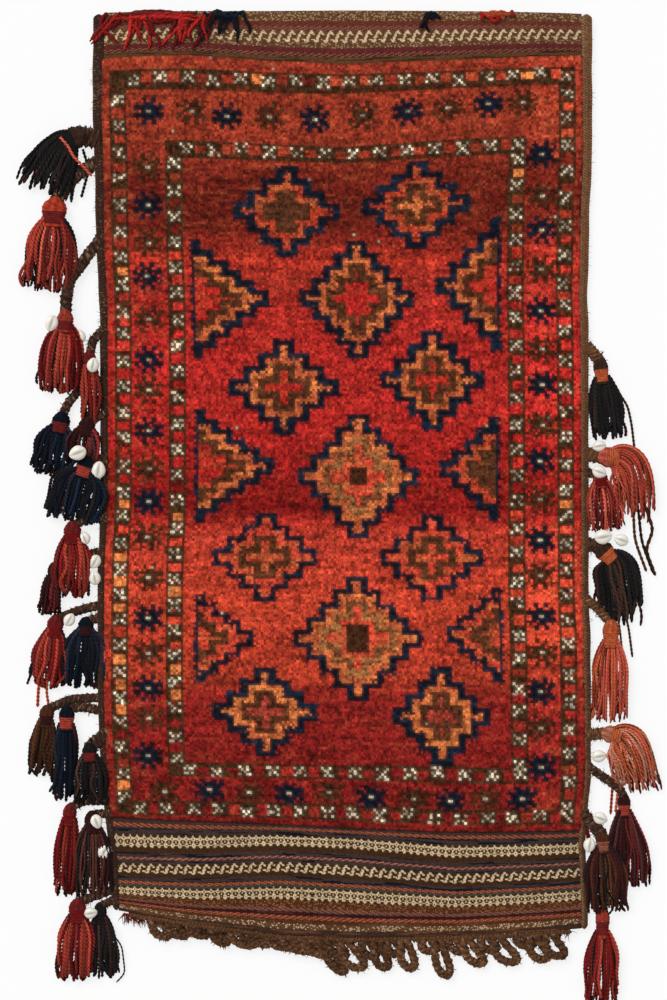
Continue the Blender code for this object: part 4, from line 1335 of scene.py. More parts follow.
@dataclass
class SideBinding:
    """Hair selvedge: a flat cord overcast with slanting stitches in three columns."""

    shape: BagShape
    side: int
    overlap: float = 1.2 * MM
    height: float = 8.6 * MM
    stitch: float = 2.7 * MM
    steps: int = 1500
    sides: int = 20
    loose_hairs: int = 170

    def build(self, finish: Material) -> Piece:
        """Make the selvedge along the bag's edge.

        The section is a circle squared by 1 / (cos^4 + sin^4)^(1/4), as wide and high as the
        selvedge. Its radius swells by the size of a sine of the length along, slanted by the
        angle, which gives the stitches, and dips at two places across, which parts three columns.
        """
        rng = np.random.default_rng(31 + self.side)
        corner = -434 * MM if self.side < 0 else -453 * MM
        y = np.linspace(corner, 466 * MM, self.steps)
        half = 0.5 * (self.shape.binding(y) + self.overlap)
        x = self.shape.edge(self.side, y) - self.side * half
        x = x + 0.35 * MM * np.sin(y / (9 * MM)) * np.sin(y / (37 * MM))
        z = np.full(y.shape, 0.5 * self.height)
        paths = np.stack([x, y, z], axis=-1)[None]
        angle = 2 * np.pi * np.arange(self.sides) / self.sides
        columns = np.cos(angle)[None, :]
        along = y[:, None] + 0.9 * MM * np.sin(2.2 * np.pi * columns)
        stitches = np.abs(np.sin(np.pi * along / self.stitch)) ** 0.8
        groove = np.exp(-((np.abs(columns) - 0.36) / 0.13) ** 2)
        square = (np.cos(angle) ** 4 + np.sin(angle) ** 4)[None] ** -0.25
        swell = np.minimum(square, 1.12) * (0.88 + 0.1 * stitches - 0.09 * groove)
        ends = np.sqrt(np.clip(np.minimum(y - y[0], y[-1] - y) / (4 * MM), 0.03, 1))
        rings = rings_along(paths, (half * ends)[None], 0.5 * self.height * ends[None],
                            self.sides, swell[None])
        # Painted shade: the hair is darker between the stitches and in the grooves that part the
        # three columns.
        shade = (0.45 + 0.75 * stitches) * (1 - 0.35 * groove)
        worn = streaks(rng, 1, self.steps, 60).T
        flecks = rng.random(swell.shape) < 0.03 + 0.15 * np.clip(worn - 0.45, 0, 1)
        hair = Dye.HAIR.light * 1.15
        if self.side > 0:
            flecks |= (columns < -0.3) & (columns > -0.75) & (stitches > 0.75)
            paler = np.interp(y, [0.0, 200 * MM], [0.9, 1.7])
            hair = paler[:, None, None] * Dye.WARM_HAIR.light
        dyes = np.where(flecks[..., None], Dye.GREY_HAIR.light, hair) * shade[..., None]
        dyes = tint(rng, dyes, 0.22)[None]
        stock = Stock()
        add_tubes(stock, rings, dyes)
        self.add_loose_hairs(stock, rng)
        name = "left" if self.side < 0 else "right"
        return stock.make(f"{name}_selvedge", finish, f"binding_{name}")

    def add_loose_hairs(self, stock: Stock, rng: Random) -> None:
        """Add short hairs that stand off the outer side of the selvedge."""
        count = self.loose_hairs
        y = rng.uniform(-420 * MM, 445 * MM, count)
        x = self.shape.edge(self.side, y) - self.side * 2.5 * MM
        z = rng.uniform(3, 6, count) * MM
        start = np.stack([x, y, z], axis=-1)
        length = rng.uniform(3, 7, count) * MM
        lean = rng.uniform(-1.1, 1.1, count)
        reach = np.stack([self.side * length * np.cos(lean), length * np.sin(lean),
                          rng.uniform(-1.5, 2, count) * MM], axis=-1)
        bend = start + 0.6 * reach + rng.uniform(-1, 1, (count, 3)) * MM
        paths = bezier(start, bend, start + reach, 6)
        width = np.linspace(0.3, 0.08, 6)[None] * MM
        rings = rings_along(paths, width, width, 3)
        dyes = np.broadcast_to(tint(rng, np.tile(Dye.HAIR.light * 1.2, (count, 1)), 0.3)
                               [:, None, None], rings.shape)
        add_tubes(stock, rings, dyes)


@dataclass
class MouthCord:
    """Hair cord along the mouth with the closure loops sewn to it."""

    shape: BagShape
    radius: float = 4.5 * MM
    cord_radius: float = 3.4 * MM
    cord_steps: int = 260
    cord_turns: float = 62.0
    twist: float = 15 * MM
    steps: int = 80
    sides: int = 12
    fuzz: int = 500
    matted_hairs: int = 1100
    seed: int = 41

    # Loops: place across, length, how far the tip leans to the right, half width; millimetres
    LOOPS = (
        (-190, 20, 10, 6), (-174, 17, 12, 5), (-154, 14, 12, 5), (-132, 18, 12, 4),
        (-112, 18, 16, 6), (-94, 14, 14, 5), (-76, 15, 18, 6), (-60, 16, 20, 7), (-48, 17, 16, 5),
        (-38, 20, 20, 7), (-22, 36, 20, 4), (-14, 19, 12, 5), (0, 31, 14, 8), (20, 19, 8, 5),
        (32, 31, 8, 4.6), (46, 17, 6, 5), (59, 32, 7, 5), (82, 15, 4, 6), (93, 40, 9, 4.8),
        (107, 16, 10, 5), (121, 29, 15, 6), (140, 16, 8, 6), (152, 29, 16, 8), (176, 13, 8, 6),
        (188, 28, 11, 6.5), (205, 25, 10, 7),
    )

    def edge_point(self, x: Array) -> Array:
        """Points along the front cloth's edge at the mouth, at places x across."""
        left, right = self.shape.cloth_edge(-1, -0.45), self.shape.cloth_edge(1, -0.45)
        u = np.clip((x - left) / (right - left), 0, 1)
        y = self.shape.height(u, np.full(u.shape, self.shape.mouth_level))
        z = self.shape.crown(x, y) - 1.2 * MM
        return np.stack([x, y - 2.2 * MM, np.maximum(z, 3.2 * MM)], axis=-1)

    def loop_paths(self) -> Paths:
        """Paths of all the loops.

        Across: x + lean * sin(pi t)^1.3 - half width * sin(2 pi t). Down: length * sin(pi t)^0.8.
        The height falls from the cloth's edge to the floor as sin(pi t)^0.6.
        """
        loops = np.array(self.LOOPS) * MM
        t = np.linspace(0.0, 1.0, self.steps)[None]
        arch = np.sin(np.pi * t).clip(0)
        start = self.edge_point(loops[:, 0])
        x = loops[:, :1] + loops[:, 2:3] * arch ** 1.3 - loops[:, 3:4] * np.sin(2 * np.pi * t)
        x = x + (2 * t - 1) * 2.5 * MM
        y = start[:, 1:2] + 1.0 * MM - loops[:, 1:2] * arch ** 0.8
        floor = self.radius + 0.5 * MM + 2.2 * MM * (np.arange(len(loops)) % 2)[:, None]
        z = start[:, 2:3] + (floor - start[:, 2:3]) * arch ** 0.6
        return np.stack([x, y, z + 1.5 * MM * np.sin(2 * np.pi * t)], axis=-1)

    def build(self, finish: Material) -> Piece:
        """Make the cord, the loops and the matted hair between them."""
        rng = np.random.default_rng(self.seed)
        stock = Stock()
        x = np.linspace(-216 * MM, 226 * MM, self.cord_steps)
        cord = self.edge_point(x)[None]
        cord[..., 1] += 0.5 * MM * rng.standard_normal(self.cord_steps)[None]
        swell = plied((1, self.cord_steps, 10), np.array([self.cord_turns]))
        rings = rings_along(cord, self.cord_radius, self.cord_radius - 0.2 * MM, 10, swell)
        # Painted shade: the cord is darker in the grooves between its plies.
        dyes = Dye.WARM_HAIR.light * 0.9 * (0.6 + 0.8 * (swell[..., None] - 0.6) / 0.4)
        add_tubes(stock, rings, tint(rng, dyes, 0.2))
        paths = self.loop_paths()
        paths = paths + 0.25 * MM * rng.standard_normal(paths.shape)
        shape = (len(paths), self.steps, self.sides)
        swell = plied(shape, path_lengths(paths) / self.twist, depth=0.1)
        swell = swell * (1 + 0.05 * rng.standard_normal(swell.shape))
        rings = rings_along(paths, self.radius, self.radius * 0.9, self.sides, swell)
        # Painted shade: the loops are darker in the grooves between their plies.
        shade = 0.5 + 0.7 * np.clip((swell[..., None] - 0.75) / 0.25, 0, 1.2)
        lightness = rng.uniform(0.7, 1.25, (len(paths), 1, 1, 1))
        flecks = rng.random(swell.shape)[..., None] < 0.08
        brown = np.where(flecks, Dye.GREY_HAIR.light, Dye.WARM_HAIR.light) * lightness
        add_tubes(stock, rings, tint(rng, brown * shade, 0.25))
        self.add_fuzz(stock, rng, paths)
        self.add_matted_hair(stock, rng)
        return stock.make("closure_cord", finish, "mouth_cord")

    def add_fuzz(self, stock: Stock, rng: Random, paths: Paths) -> None:
        """Add short hairs that stand off the loops on both sides."""
        count = self.fuzz
        loop = rng.integers(0, len(paths), count)
        step = rng.integers(4, paths.shape[1] - 4, count)
        centre = paths[loop, step]
        along = paths[loop, step + 2] - paths[loop, step - 2]
        across = np.stack([-along[:, 1], along[:, 0], np.zeros(count)], axis=-1)
        across /= np.linalg.norm(across, axis=-1, keepdims=True) + 1e-9
        side = rng.choice([-1.0, 1.0], (count, 1))
        start = centre + across * side * 0.6 * self.radius
        reach = across * side * rng.uniform(2.2, 4.4, (count, 1)) * MM
        reach = reach + along * rng.uniform(-0.6, 0.6, (count, 1))
        reach[:, 2] += rng.uniform(-1.5, 2.0, count) * MM
        add_hairs(stock, rng, start, reach, np.tile(Dye.WARM_HAIR.light, (count, 1)))

    def add_matted_hair(self, stock: Stock, rng: Random) -> None:
        """Add loose hairs along the mouth, thickest on the left where the loops have felted."""
        count = self.matted_hairs
        x = np.where(rng.random(count) < 0.7, rng.uniform(-222, -80, count),
                     rng.uniform(-80, 228, count)) * MM
        start = self.edge_point(x)
        length = rng.uniform(4, 13, count) * MM
        lean = rng.normal(0.3, 0.5, count)
        reach = np.stack([length * np.sin(lean), -length * np.cos(lean),
                          -rng.uniform(0.3, 0.9, count) * start[:, 2]], axis=-1)
        red = ((x < -205 * MM) & (rng.random(count) < 0.6))[:, None]
        base = np.where(red, Dye.RED.light * 0.7, Dye.WARM_HAIR.light * 0.9)
        add_hairs(stock, rng, start, reach, base)


@dataclass(frozen=True)
class LooseYarn:
    """One yarn that hangs by itself: dye, thickness and points in millimetres, with heights."""

    dye: Dye
    thick: float
    points: tuple[tuple[float, float, float], ...]


@dataclass(frozen=True)
class Tassel:
    """One tassel. Points are millimetres as seen from above.

    The stem leaves the bag at root, runs through the stem points to the head, and the skirt hangs
    from there to its tip, over the bend where there is one.
    """

    node: str
    root: tuple[float, float]
    head: tuple[float, float]
    tip: tuple[float, float]
    yarns: tuple[Dye, ...]
    wrap: Dye
    slot: str
    stem: tuple[tuple[float, float], ...] = ()
    bend: tuple[float, float] | None = None
    stem_width: float = 10.0
    stem_dye: Dye = Dye.HAIR
    head_width: float = 18.0
    head_length: float = 14.0
    head_dye: Dye | None = None
    skirt_width: float = 38.0
    lift: float = 0.0
    tip_shade: float = 0.6
    thick: float = 2.0
    opens_by: float = 0.42
    belly: float = 1.0
    loose: tuple[LooseYarn, ...] = ()

    @property
    def strands(self) -> int:
        """Strands of the upper layers: enough to cover the skirt a little over twice."""
        return max(9, round(2.3 * self.skirt_width / (2 * self.thick)))


class TasselMaker:
    """Builds one tassel: stem, wrapped head and skirt of plied strands."""

    STEPS = 40
    SIDES = 8
    STEM_STEPS = 48
    STEM_SIDES = 14
    STEM_HAIRS = 26
    HEAD_STEPS = 40
    HEAD_SIDES = 22
    STEM_TWIST = 15 * MM
    STRAND_TWIST = 8 * MM
    # Dark yarns of a lower layer of strands: painted shadow that fills the gaps under and between
    # the skirt's strands.
    SHADOW_FILL_YARNS = (Dye.MAROON, Dye.BLACK)
    WARM_SHADOW_FILL_YARNS = (Dye.WINE, Dye.WALNUT)

    def __init__(self, tassel: Tassel, seed: int) -> None:
        """Keep the tassel's sizes and its own random numbers.

        Args:
            tassel: the tassel's sizes and dyes.
            seed: seed of its random numbers.
        """
        self.tassel = tassel
        self.rng = np.random.default_rng(seed)
        first = np.array(tassel.bend if tassel.bend else tassel.tip)
        self.head = np.array(tassel.head)
        aim = first - self.head
        self.aim = aim / np.linalg.norm(aim)
        self.neck = self.head + self.aim * tassel.head_length

    def level(self, points: Array, z: Array | float) -> Array:
        """Put points given in millimetres at heights in millimetres, in metres."""
        return np.concatenate([points, np.broadcast_to(z, points.shape[:-1])[..., None]],
                              axis=-1) * MM

    def add_stem(self, stock: Stock) -> None:
        """Add the stem: a hair cord of three plies, flatter than it is wide."""
        tassel = self.tassel
        inside = 4.0 if tassel.root[0] < 0 else -4.0
        start = (tassel.root[0] + inside, tassel.root[1])
        route = [start, *tassel.stem, tuple(self.head), tuple(self.head + self.aim * 3)]
        height = 4.2 + tassel.lift * np.linspace(0.3, 1, len(route))
        route = [(x * MM, y * MM, z * MM) for (x, y), z in zip(route, height)]
        path = through(route, self.STEM_STEPS)
        turns = path_lengths(path) / self.STEM_TWIST
        swell = plied((1, self.STEM_STEPS, self.STEM_SIDES), turns, plies=3, depth=0.08)
        swell = swell * (1 + 0.06 * self.rng.standard_normal(swell.shape))
        half = 0.5 * tassel.stem_width * MM
        rings = rings_along(path, half, min(half, 3.8 * MM), self.STEM_SIDES, swell)
        # Painted shade: the stem is darker in the grooves between its plies.
        shade = 0.6 + 0.6 * (swell[..., None] - 0.84) / 0.16
        flecks = self.rng.random(swell.shape)[..., None] < 0.12
        dyes = np.where(flecks, Dye.GREY_HAIR.light, tassel.stem_dye.light * 1.1) * shade
        add_tubes(stock, rings, tint(self.rng, dyes, 0.25))
        self.add_stem_hairs(stock, path[0], half)

    def add_stem_hairs(self, stock: Stock, path: Array, half: float) -> None:
        """Add short hairs that stand off the stem."""
        count = self.STEM_HAIRS
        place = path[self.rng.integers(6, len(path), count)]
        turn = self.rng.uniform(0, 2 * np.pi, count)
        out = np.stack([np.cos(turn), np.sin(turn), 0.2 * np.ones(count)], axis=-1)
        start = place + out * half * 0.7
        reach = out * self.rng.uniform(2, 5, (count, 1)) * MM
        base = np.tile(self.tassel.stem_dye.light, (count, 1))
        add_hairs(stock, self.rng, start, reach, base)

    def add_head(self, stock: Stock) -> None:
        """Add the head: a bulb ribbed lengthwise, then a neck of wrapped yarn.

        The radius runs from the stem's through a bulge to the neck's. On the neck it is rippled
        by the size of a sine along the length, which gives the turns of the wrapping.
        """
        tassel = self.tassel
        steps, sides = self.HEAD_STEPS, self.HEAD_SIDES
        t = np.linspace(0, 1, steps)
        length = tassel.head_length + 7
        route = self.head - self.aim * 3 + np.outer(t * length, self.aim)
        half = np.interp(t, [0, 0.1, 0.32, 0.5, 0.56, 0.9, 1.0],
                         [0.16, 0.36, 0.5, 0.47, 0.43, 0.43, 0.46]) * tassel.head_width
        wrapped = (t > 0.46) & (t < 0.9)
        coils = np.abs(np.sin(np.pi * t * length / 2.2)) * wrapped
        angle = 2 * np.pi * np.arange(sides) / sides
        ribs = 0.06 * np.cos(8 * angle[None] + 4 * t[:, None]) * (1 - wrapped[:, None])
        swell = 0.94 + 0.08 * coils[:, None] + ribs
        swell = swell * (1 + 0.02 * self.rng.standard_normal(swell.shape))
        high = np.minimum(half * 0.8, 5.4)
        path = self.level(route, tassel.lift + high)[None]
        rings = rings_along(path, half[None] * MM, high[None] * MM, sides, swell[None])
        bulb = tassel.head_dye or tassel.yarns[0]
        base = np.where(wrapped[:, None, None], tassel.wrap.light, bulb.light)
        # Painted shade: the neck is darker between the turns of the wrapping, and the bulb between
        # its ribs.
        shade = np.where(wrapped[:, None], 0.4 + 0.75 * coils[:, None], 0.85 + 5 * ribs)
        dyes = tint(self.rng, base * shade[..., None] * np.ones((steps, sides, 1)), 0.22)
        add_tubes(stock, rings, dyes[None])

    def strand_paths(self, count: int, low: float, high: float, reach: float = 1.0) -> Paths:
        """Paths of the skirt's strands, spread across the head and fanned out to the tip.

        The middle line is a curve from the neck over the bend to the tip. Each strand keeps its
        own share of the skirt's width from it, which opens as s * (1 + belly * (1 - s)), where s
        is t over the share of the length by which it is open, and stops at its own length.

        Args:
            count: strands.
            low: height of the lowest layer at the tip, in millimetres.
            high: height of the highest.
            reach: length of the strands, as a share of the way to the tip.

        Returns:
            (count, steps, 3) paths in metres.
        """
        tassel, rng = self.tassel, self.rng
        spread = np.linspace(-1, 1, count) + rng.normal(0, 0.7 / count, count)
        layer = (np.arange(count) * 0.618 + rng.uniform(0, 0.2, count)) % 1
        tip = np.array(tassel.tip)
        bend = np.array(tassel.bend) if tassel.bend else 0.5 * (self.neck + tip)
        begin = self.neck - self.aim * 4
        short = np.abs(rng.normal(0, 0.12, count)) + 0.05 * spread ** 2
        t = np.linspace(0, 1, self.STEPS)[None] * (reach * (1 - short))[:, None]
        part = t[..., None]
        middle = (1 - part) ** 2 * begin + 2 * part * (1 - part) * bend + part ** 2 * tip
        way = 2 * (1 - part) * (bend - begin) + 2 * part * (tip - bend)
        way /= np.linalg.norm(way, axis=-1, keepdims=True)
        across = np.stack([-way[..., 1], way[..., 0]], axis=-1)
        narrow = 0.40 * tassel.head_width
        share = np.clip(t / tassel.opens_by, 0, 1)
        opened = share * (1 + tassel.belly * (1 - share))
        half = narrow + (0.5 * tassel.skirt_width - tassel.thick - narrow) * opened
        turns = rng.uniform(0.6, 1.8, (count, 1))
        sway = rng.normal(0, 2.9, (count, 1)) * np.sin(
            2 * np.pi * (turns * t + rng.random((count, 1)))) * t
        flat = middle + across * (spread[:, None] * half + sway)[..., None]
        top = tassel.lift + 4.2 + 3.6 * layer
        rest = 0.5 * tassel.lift + low + layer * (high - low)
        fall = (1 - t) ** 1.4
        z = rest[:, None] + (top - rest)[:, None] * fall + 1.6 * np.sin(np.pi * t)
        return self.level(flat, z)

    def add_strands(self, stock: Stock, paths: Paths, yarns: tuple[Dye, ...], thick: float,
                    shade_by: float) -> None:
        """Add plied strands along paths, with painted shade in the grooves, and darker towards
        their tips.
        """
        count, steps = paths.shape[:2]
        turns = path_lengths(paths) / self.STRAND_TWIST
        swell = plied((count, steps, self.SIDES), turns, depth=0.2)
        radius = thick * MM * self.rng.uniform(0.75, 1.15, (count, 1)) * np.ones((1, steps))
        radius[:, -1] *= 0.5
        rings = rings_along(paths, radius, radius * 0.95, self.SIDES, swell)
        picks = np.array([dye.light for dye in yarns])[self.rng.integers(0, len(yarns), count)]
        base = 1.4 * tint(self.rng, picks, 0.28)[:, None, None]
        t = np.linspace(0, 1, steps)[None, :, None, None]
        fade = 1 + (shade_by - 1) * np.clip((t - 0.4) / 0.6, 0, 1)
        # Painted shade: each strand is darker in the grooves between its plies.
        groove = 0.45 + 0.75 * (swell[..., None] - 0.6) / 0.4
        dyes = np.broadcast_to(base * fade * groove, rings.shape)
        add_tubes(stock, rings, tint(self.rng, dyes, 0.14))

    def add_loose(self, stock: Stock) -> None:
        """Add the yarns that hang by themselves."""
        for yarn in self.tassel.loose:
            path = through([(x * MM, y * MM, z * MM) for x, y, z in yarn.points],
                           self.STEM_STEPS)
            self.add_strands(stock, path, (yarn.dye,), yarn.thick, 0.9)

    def build(self, finish: Material) -> Piece:
        """Make the tassel and hand it back."""
        tassel = self.tassel
        stock = Stock()
        self.add_stem(stock)
        self.add_head(stock)
        # Painted shadow: a lower layer of dark strands fills the gaps between the skirt's strands.
        under = max(8, round(0.8 * tassel.strands))
        warm = tassel.slot == "brick_orange"
        dark = self.WARM_SHADOW_FILL_YARNS if warm else self.SHADOW_FILL_YARNS
        self.add_strands(stock, self.strand_paths(under, 2.0, 3.2, 1.04), dark, tassel.thick, 0.8)
        self.add_strands(stock, self.strand_paths(tassel.strands, 3.4, 8.0), tassel.yarns,
                         tassel.thick, tassel.tip_shade)
        self.add_loose(stock)
        return stock.make(f"yarn_{tassel.node}", finish, tassel.node)


REDS = (Dye.RUST, Dye.ROSE, Dye.RUST, Dye.WINE)
DEEP_REDS = (Dye.WINE, Dye.RUST, Dye.CRIMSON, Dye.RUST)
BLACKS = (Dye.BLACK, Dye.BLACK, Dye.HAIR, Dye.BLACK)
NAVIES = (Dye.NAVY, Dye.BLACK, Dye.NAVY, Dye.BLUE)
MAROONS = (Dye.MAROON, Dye.PURPLE, Dye.MAROON, Dye.WINE)
RUSTS = (Dye.ROSE, Dye.ORANGE, Dye.RUST, Dye.ROSE)
BROWNS = (Dye.WALNUT, Dye.MAROON, Dye.UMBER)
PEACHES = (Dye.PINK, Dye.ORANGE, Dye.PINK, Dye.ROSE)
TASSELS = (
    Tassel("tassel_left_01", (-250, 341), (-266, 343), (-305, 285), BLACKS, Dye.BLACK,
           "black_wool", bend=(-286, 334), stem_width=22, head_width=25, skirt_width=64,
           lift=7, tip_shade=1.0, opens_by=1.0, belly=0.2, head_dye=Dye.HAIR, loose=(
               LooseYarn(Dye.BLACK, 1.9, ((-263, 330, 9), (-257, 310, 6), (-265, 282, 3))),
               LooseYarn(Dye.BLACK, 1.8, ((-268, 332, 9), (-270, 305, 6), (-275, 277, 3))),
               LooseYarn(Dye.ROSE, 2.2, ((-285, 341, 17), (-277, 332, 17), (-272, 322, 16),
                                         (-262, 312, 12), (-254, 303, 8))))),
    Tassel("tassel_left_02", (-250, 319), (-291, 277), (-298, 186), REDS, Dye.WINE,
           "madder_red", stem=((-272, 303),), stem_width=15, head_width=27, head_length=21,
           head_dye=Dye.BRICK, skirt_width=54, lift=3),
    Tassel("tassel_left_03", (-249, 241), (-280, 164), (-287, 84), DEEP_REDS, Dye.WINE,
           "madder_red", stem=((-277, 198), (-280, 178)), stem_width=13, head_width=18,
           head_dye=Dye.RUST, skirt_width=45, lift=6, tip_shade=0.5),
    Tassel("tassel_left_04", (-246, 150), (-256, 124), (-255, 52), DEEP_REDS, Dye.CRIMSON,
           "madder_red", head_width=14, skirt_width=21, stem_width=10, lift=6,
           stem=((-253, 138),)),
    Tassel("tassel_left_05", (-243, 100), (-284, 62), (-297, 1), NAVIES, Dye.WINE,
           "indigo_navy", stem=((-268, 88), (-279, 74)), head_width=20, skirt_width=44),
    Tassel("tassel_left_06", (-243, 66), (-258, 56), (-266, 12), MAROONS, Dye.MAROON,
           "dark_maroon", head_width=18, head_length=10, skirt_width=36, lift=6),
    Tassel("tassel_left_07", (-242, 18), (-258, 17), (-276, -46), NAVIES, Dye.RUST,
           "indigo_navy", bend=(-268, -10), stem_width=14, head_width=20, skirt_width=60,
           lift=7, tip_shade=1.0),
    Tassel("tassel_left_08", (-243, -38), (-273, -48), (-275, -121), DEEP_REDS, Dye.CRIMSON,
           "madder_red", stem=((-262, -42),), head_width=19, skirt_width=38, lift=6,
           tip_shade=0.5),
    Tassel("tassel_left_09", (-243, -72), (-292, -88), (-298, -139), MAROONS, Dye.MAROON,
           "dark_maroon", stem=((-268, -80),), head_width=13, skirt_width=22),
    Tassel("tassel_left_10", (-243, -126), (-290, -142), (-301, -212), DEEP_REDS, Dye.CRIMSON,
           "madder_red", stem=((-268, -133),), head_width=18, skirt_width=36, loose=(
               LooseYarn(Dye.ORANGE, 1.8, ((-296, -180, 7), (-300, -215, 4), (-297, -233, 2))),
               LooseYarn(Dye.BRICK, 1.8, ((-304, -180, 7), (-308, -212, 4), (-309, -230, 2))))),
    Tassel("tassel_left_11", (-242, -138), (-260, -144), (-263, -212), NAVIES, Dye.MAROON,
           "indigo_navy", head_width=17, head_length=11, skirt_width=48),
    Tassel("tassel_left_12", (-242, -220), (-299, -232), (-306, -301), BROWNS,
           Dye.MAROON, "dark_maroon", stem=((-275, -222),), head_width=16, skirt_width=27,
           loose=(LooseYarn(Dye.BLACK, 1.7, ((-300, -240, 8), (-316, -262, 5), (-318, -290, 2),
                                             (-309, -300, 2))),)),
    Tassel("tassel_left_13", (-241, -235), (-279, -232), (-282, -325), NAVIES, Dye.RUST,
           "indigo_navy", stem=((-262, -230),), head_width=17, head_length=18, skirt_width=28,
           lift=2),
    Tassel("tassel_left_14", (-240, -254), (-256, -270), (-255, -330), BLACKS, Dye.WINE,
           "black_wool", stem_width=15, head_width=16, head_length=11, skirt_width=32, lift=6),
    Tassel("tassel_left_15", (-239, -324), (-276, -331), (-282, -421), DEEP_REDS, Dye.CRIMSON,
           "madder_red", stem=((-262, -324),), head_width=15, skirt_width=25),
    Tassel("tassel_left_16", (-238, -336), (-253, -338), (-253, -424),
           (Dye.MAROON, Dye.WALNUT, Dye.PURPLE, Dye.BLACK), Dye.MAROON, "dark_maroon",
           head_width=18, skirt_width=38, thick=1.4, lift=4),
    Tassel("tassel_left_17", (-233, -412), (-268, -426), (-272, -507), DEEP_REDS, Dye.CRIMSON,
           "madder_red", stem=((-250, -419),), head_width=19, head_length=16, skirt_width=39,
           lift=4),
    Tassel("tassel_left_18", (-233, -422), (-246, -430), (-241, -503), BLACKS, Dye.BLACK,
           "black_wool", head_width=14, skirt_width=30, stem_width=9, loose=(
               LooseYarn(Dye.BLACK, 1.3, ((-240, -448, 8), (-224, -470, 5), (-221, -498, 2),
                                          (-230, -507, 2))),)),
    Tassel("tassel_right_01", (246, 134), (256, 118), (266, 38), BLACKS, Dye.ORANGE,
           "black_wool", stem_width=13, stem_dye=Dye.WARM_HAIR, head_width=16,
           head_dye=Dye.HAIR, head_length=20, skirt_width=34, tip_shade=1.0, loose=(
               LooseYarn(Dye.UMBER, 1.5, ((268, 96, 8), (284, 72, 6), (288, 54, 4),
                                          (291, 30, 2))),)),
    Tassel("tassel_right_02", (246, 24), (259, 21), (290, -44), RUSTS, Dye.ORANGE,
           "brick_orange", bend=(296, 20), stem_width=15, stem_dye=Dye.WARM_HAIR,
           head_width=22, head_length=12, skirt_width=42, lift=3, thick=1.4, loose=(
               LooseYarn(Dye.WALNUT, 2.2, ((278, 12, 8), (289, -20, 6), (291, -62, 4),
                                           (303, -94, 3))),
               LooseYarn(Dye.UMBER, 1.8, ((279, 12, 8), (294, -26, 6), (298, -64, 4),
                                          (310, -96, 3))),
               LooseYarn(Dye.WALNUT, 2.0, ((280, 12, 8), (300, -24, 6), (310, -52, 4),
                                           (302, -72, 3), (312, -98, 3))))),
    Tassel("tassel_right_03", (246, 6), (256, 3), (263, -55), REDS, Dye.CRIMSON, "madder_red",
           head_width=16, head_length=9, skirt_width=36, thick=1.3),
    Tassel("tassel_right_04", (246, -66), (256, -69), (278, -150), BLACKS, Dye.ORANGE,
           "black_wool", bend=(274, -88), stem_width=15, head_width=21, head_dye=Dye.HAIR,
           head_length=17, skirt_width=47, tip_shade=1.0, loose=(
               LooseYarn(Dye.WALNUT, 1.4, ((268, -110, 8), (276, -150, 4), (280, -186, 2))),
               LooseYarn(Dye.UMBER, 1.4, ((274, -110, 8), (285, -150, 4), (289, -180, 2))))),
    Tassel("tassel_right_05", (245, -120), (267, -146), (265, -246), RUSTS, Dye.ORANGE,
           "brick_orange", stem=((254, -131),), head_width=18, head_length=20, skirt_width=38,
           lift=3, tip_shade=0.7, thick=1.4, stem_dye=Dye.WARM_HAIR, head_dye=Dye.ORANGE),
    Tassel("tassel_right_06", (245, -258), (262, -256), (296, -318), PEACHES, Dye.ORANGE,
           "brick_orange", bend=(288, -262), stem_width=13, head_width=19, head_length=11,
           skirt_width=46, lift=3, thick=1.5, stem_dye=Dye.WARM_HAIR, loose=(
               LooseYarn(Dye.BRICK, 2.0, ((268, -275, 8), (269, -305, 5), (267, -338, 2))),
               LooseYarn(Dye.ORANGE, 2.0, ((272, -275, 8), (275, -305, 5), (272, -336, 2))))),
    Tassel("tassel_right_07", (243, -286), (280, -320), (284, -413), MAROONS, Dye.RUST,
           "dark_maroon", stem=((265, -304), (276, -312)), head_width=14, head_length=17,
           skirt_width=46, thick=1.6, opens_by=0.6, belly=0.5),
    Tassel("tassel_right_08", (242, -336), (258, -358), (264, -438), (Dye.MAROON, Dye.WALNUT,
           Dye.BLACK), Dye.CLAY, "dark_maroon", stem_width=14, head_width=15,
           head_length=14, head_dye=Dye.WALNUT, skirt_width=43, lift=5, thick=1.6),
    Tassel("tassel_right_09", (244, -342), (259, -434), (257, -534), DEEP_REDS, Dye.WINE,
           "madder_red", stem=((252, -390), (258, -420)), stem_width=4.5, stem_dye=Dye.CRIMSON,
           head_width=15, head_length=24, head_dye=Dye.RUST, skirt_width=35, thick=1.6),
)

# Shells: node, middle in millimetres, turn of the length in degrees, and length
SHELLS = (
    ("shell_left_01", -294, 155, 70, 17), ("shell_left_02", -266, 142, 100, 15),
    ("shell_left_03", -252, 113, 80, 15), ("shell_left_04", -267, 25, 20, 18),
    ("shell_left_05", -247, 8, 80, 18), ("shell_left_06", -261, -60, 110, 14),
    ("shell_left_07", -251, -84, 60, 15), ("shell_left_08", -251, -100, 100, 15),
    ("shell_left_09", -276, -142, 60, 14), ("shell_left_10", -249, -344, 110, 15),
    ("shell_left_11", -241, -374, 60, 17), ("shell_left_12", -255, -436, 10, 14),
    ("shell_right_01", 255, 32, 10, 14), ("shell_right_02", 255, 6, -20, 15),
    ("shell_right_03", 259, -59, 10, 18), ("shell_right_04", 277, -62, -20, 15),
    ("shell_right_05", 255, -279, 10, 15), ("shell_right_06", 256, -341, -20, 15),
    ("shell_right_07", 245, -368, 80, 15),
)


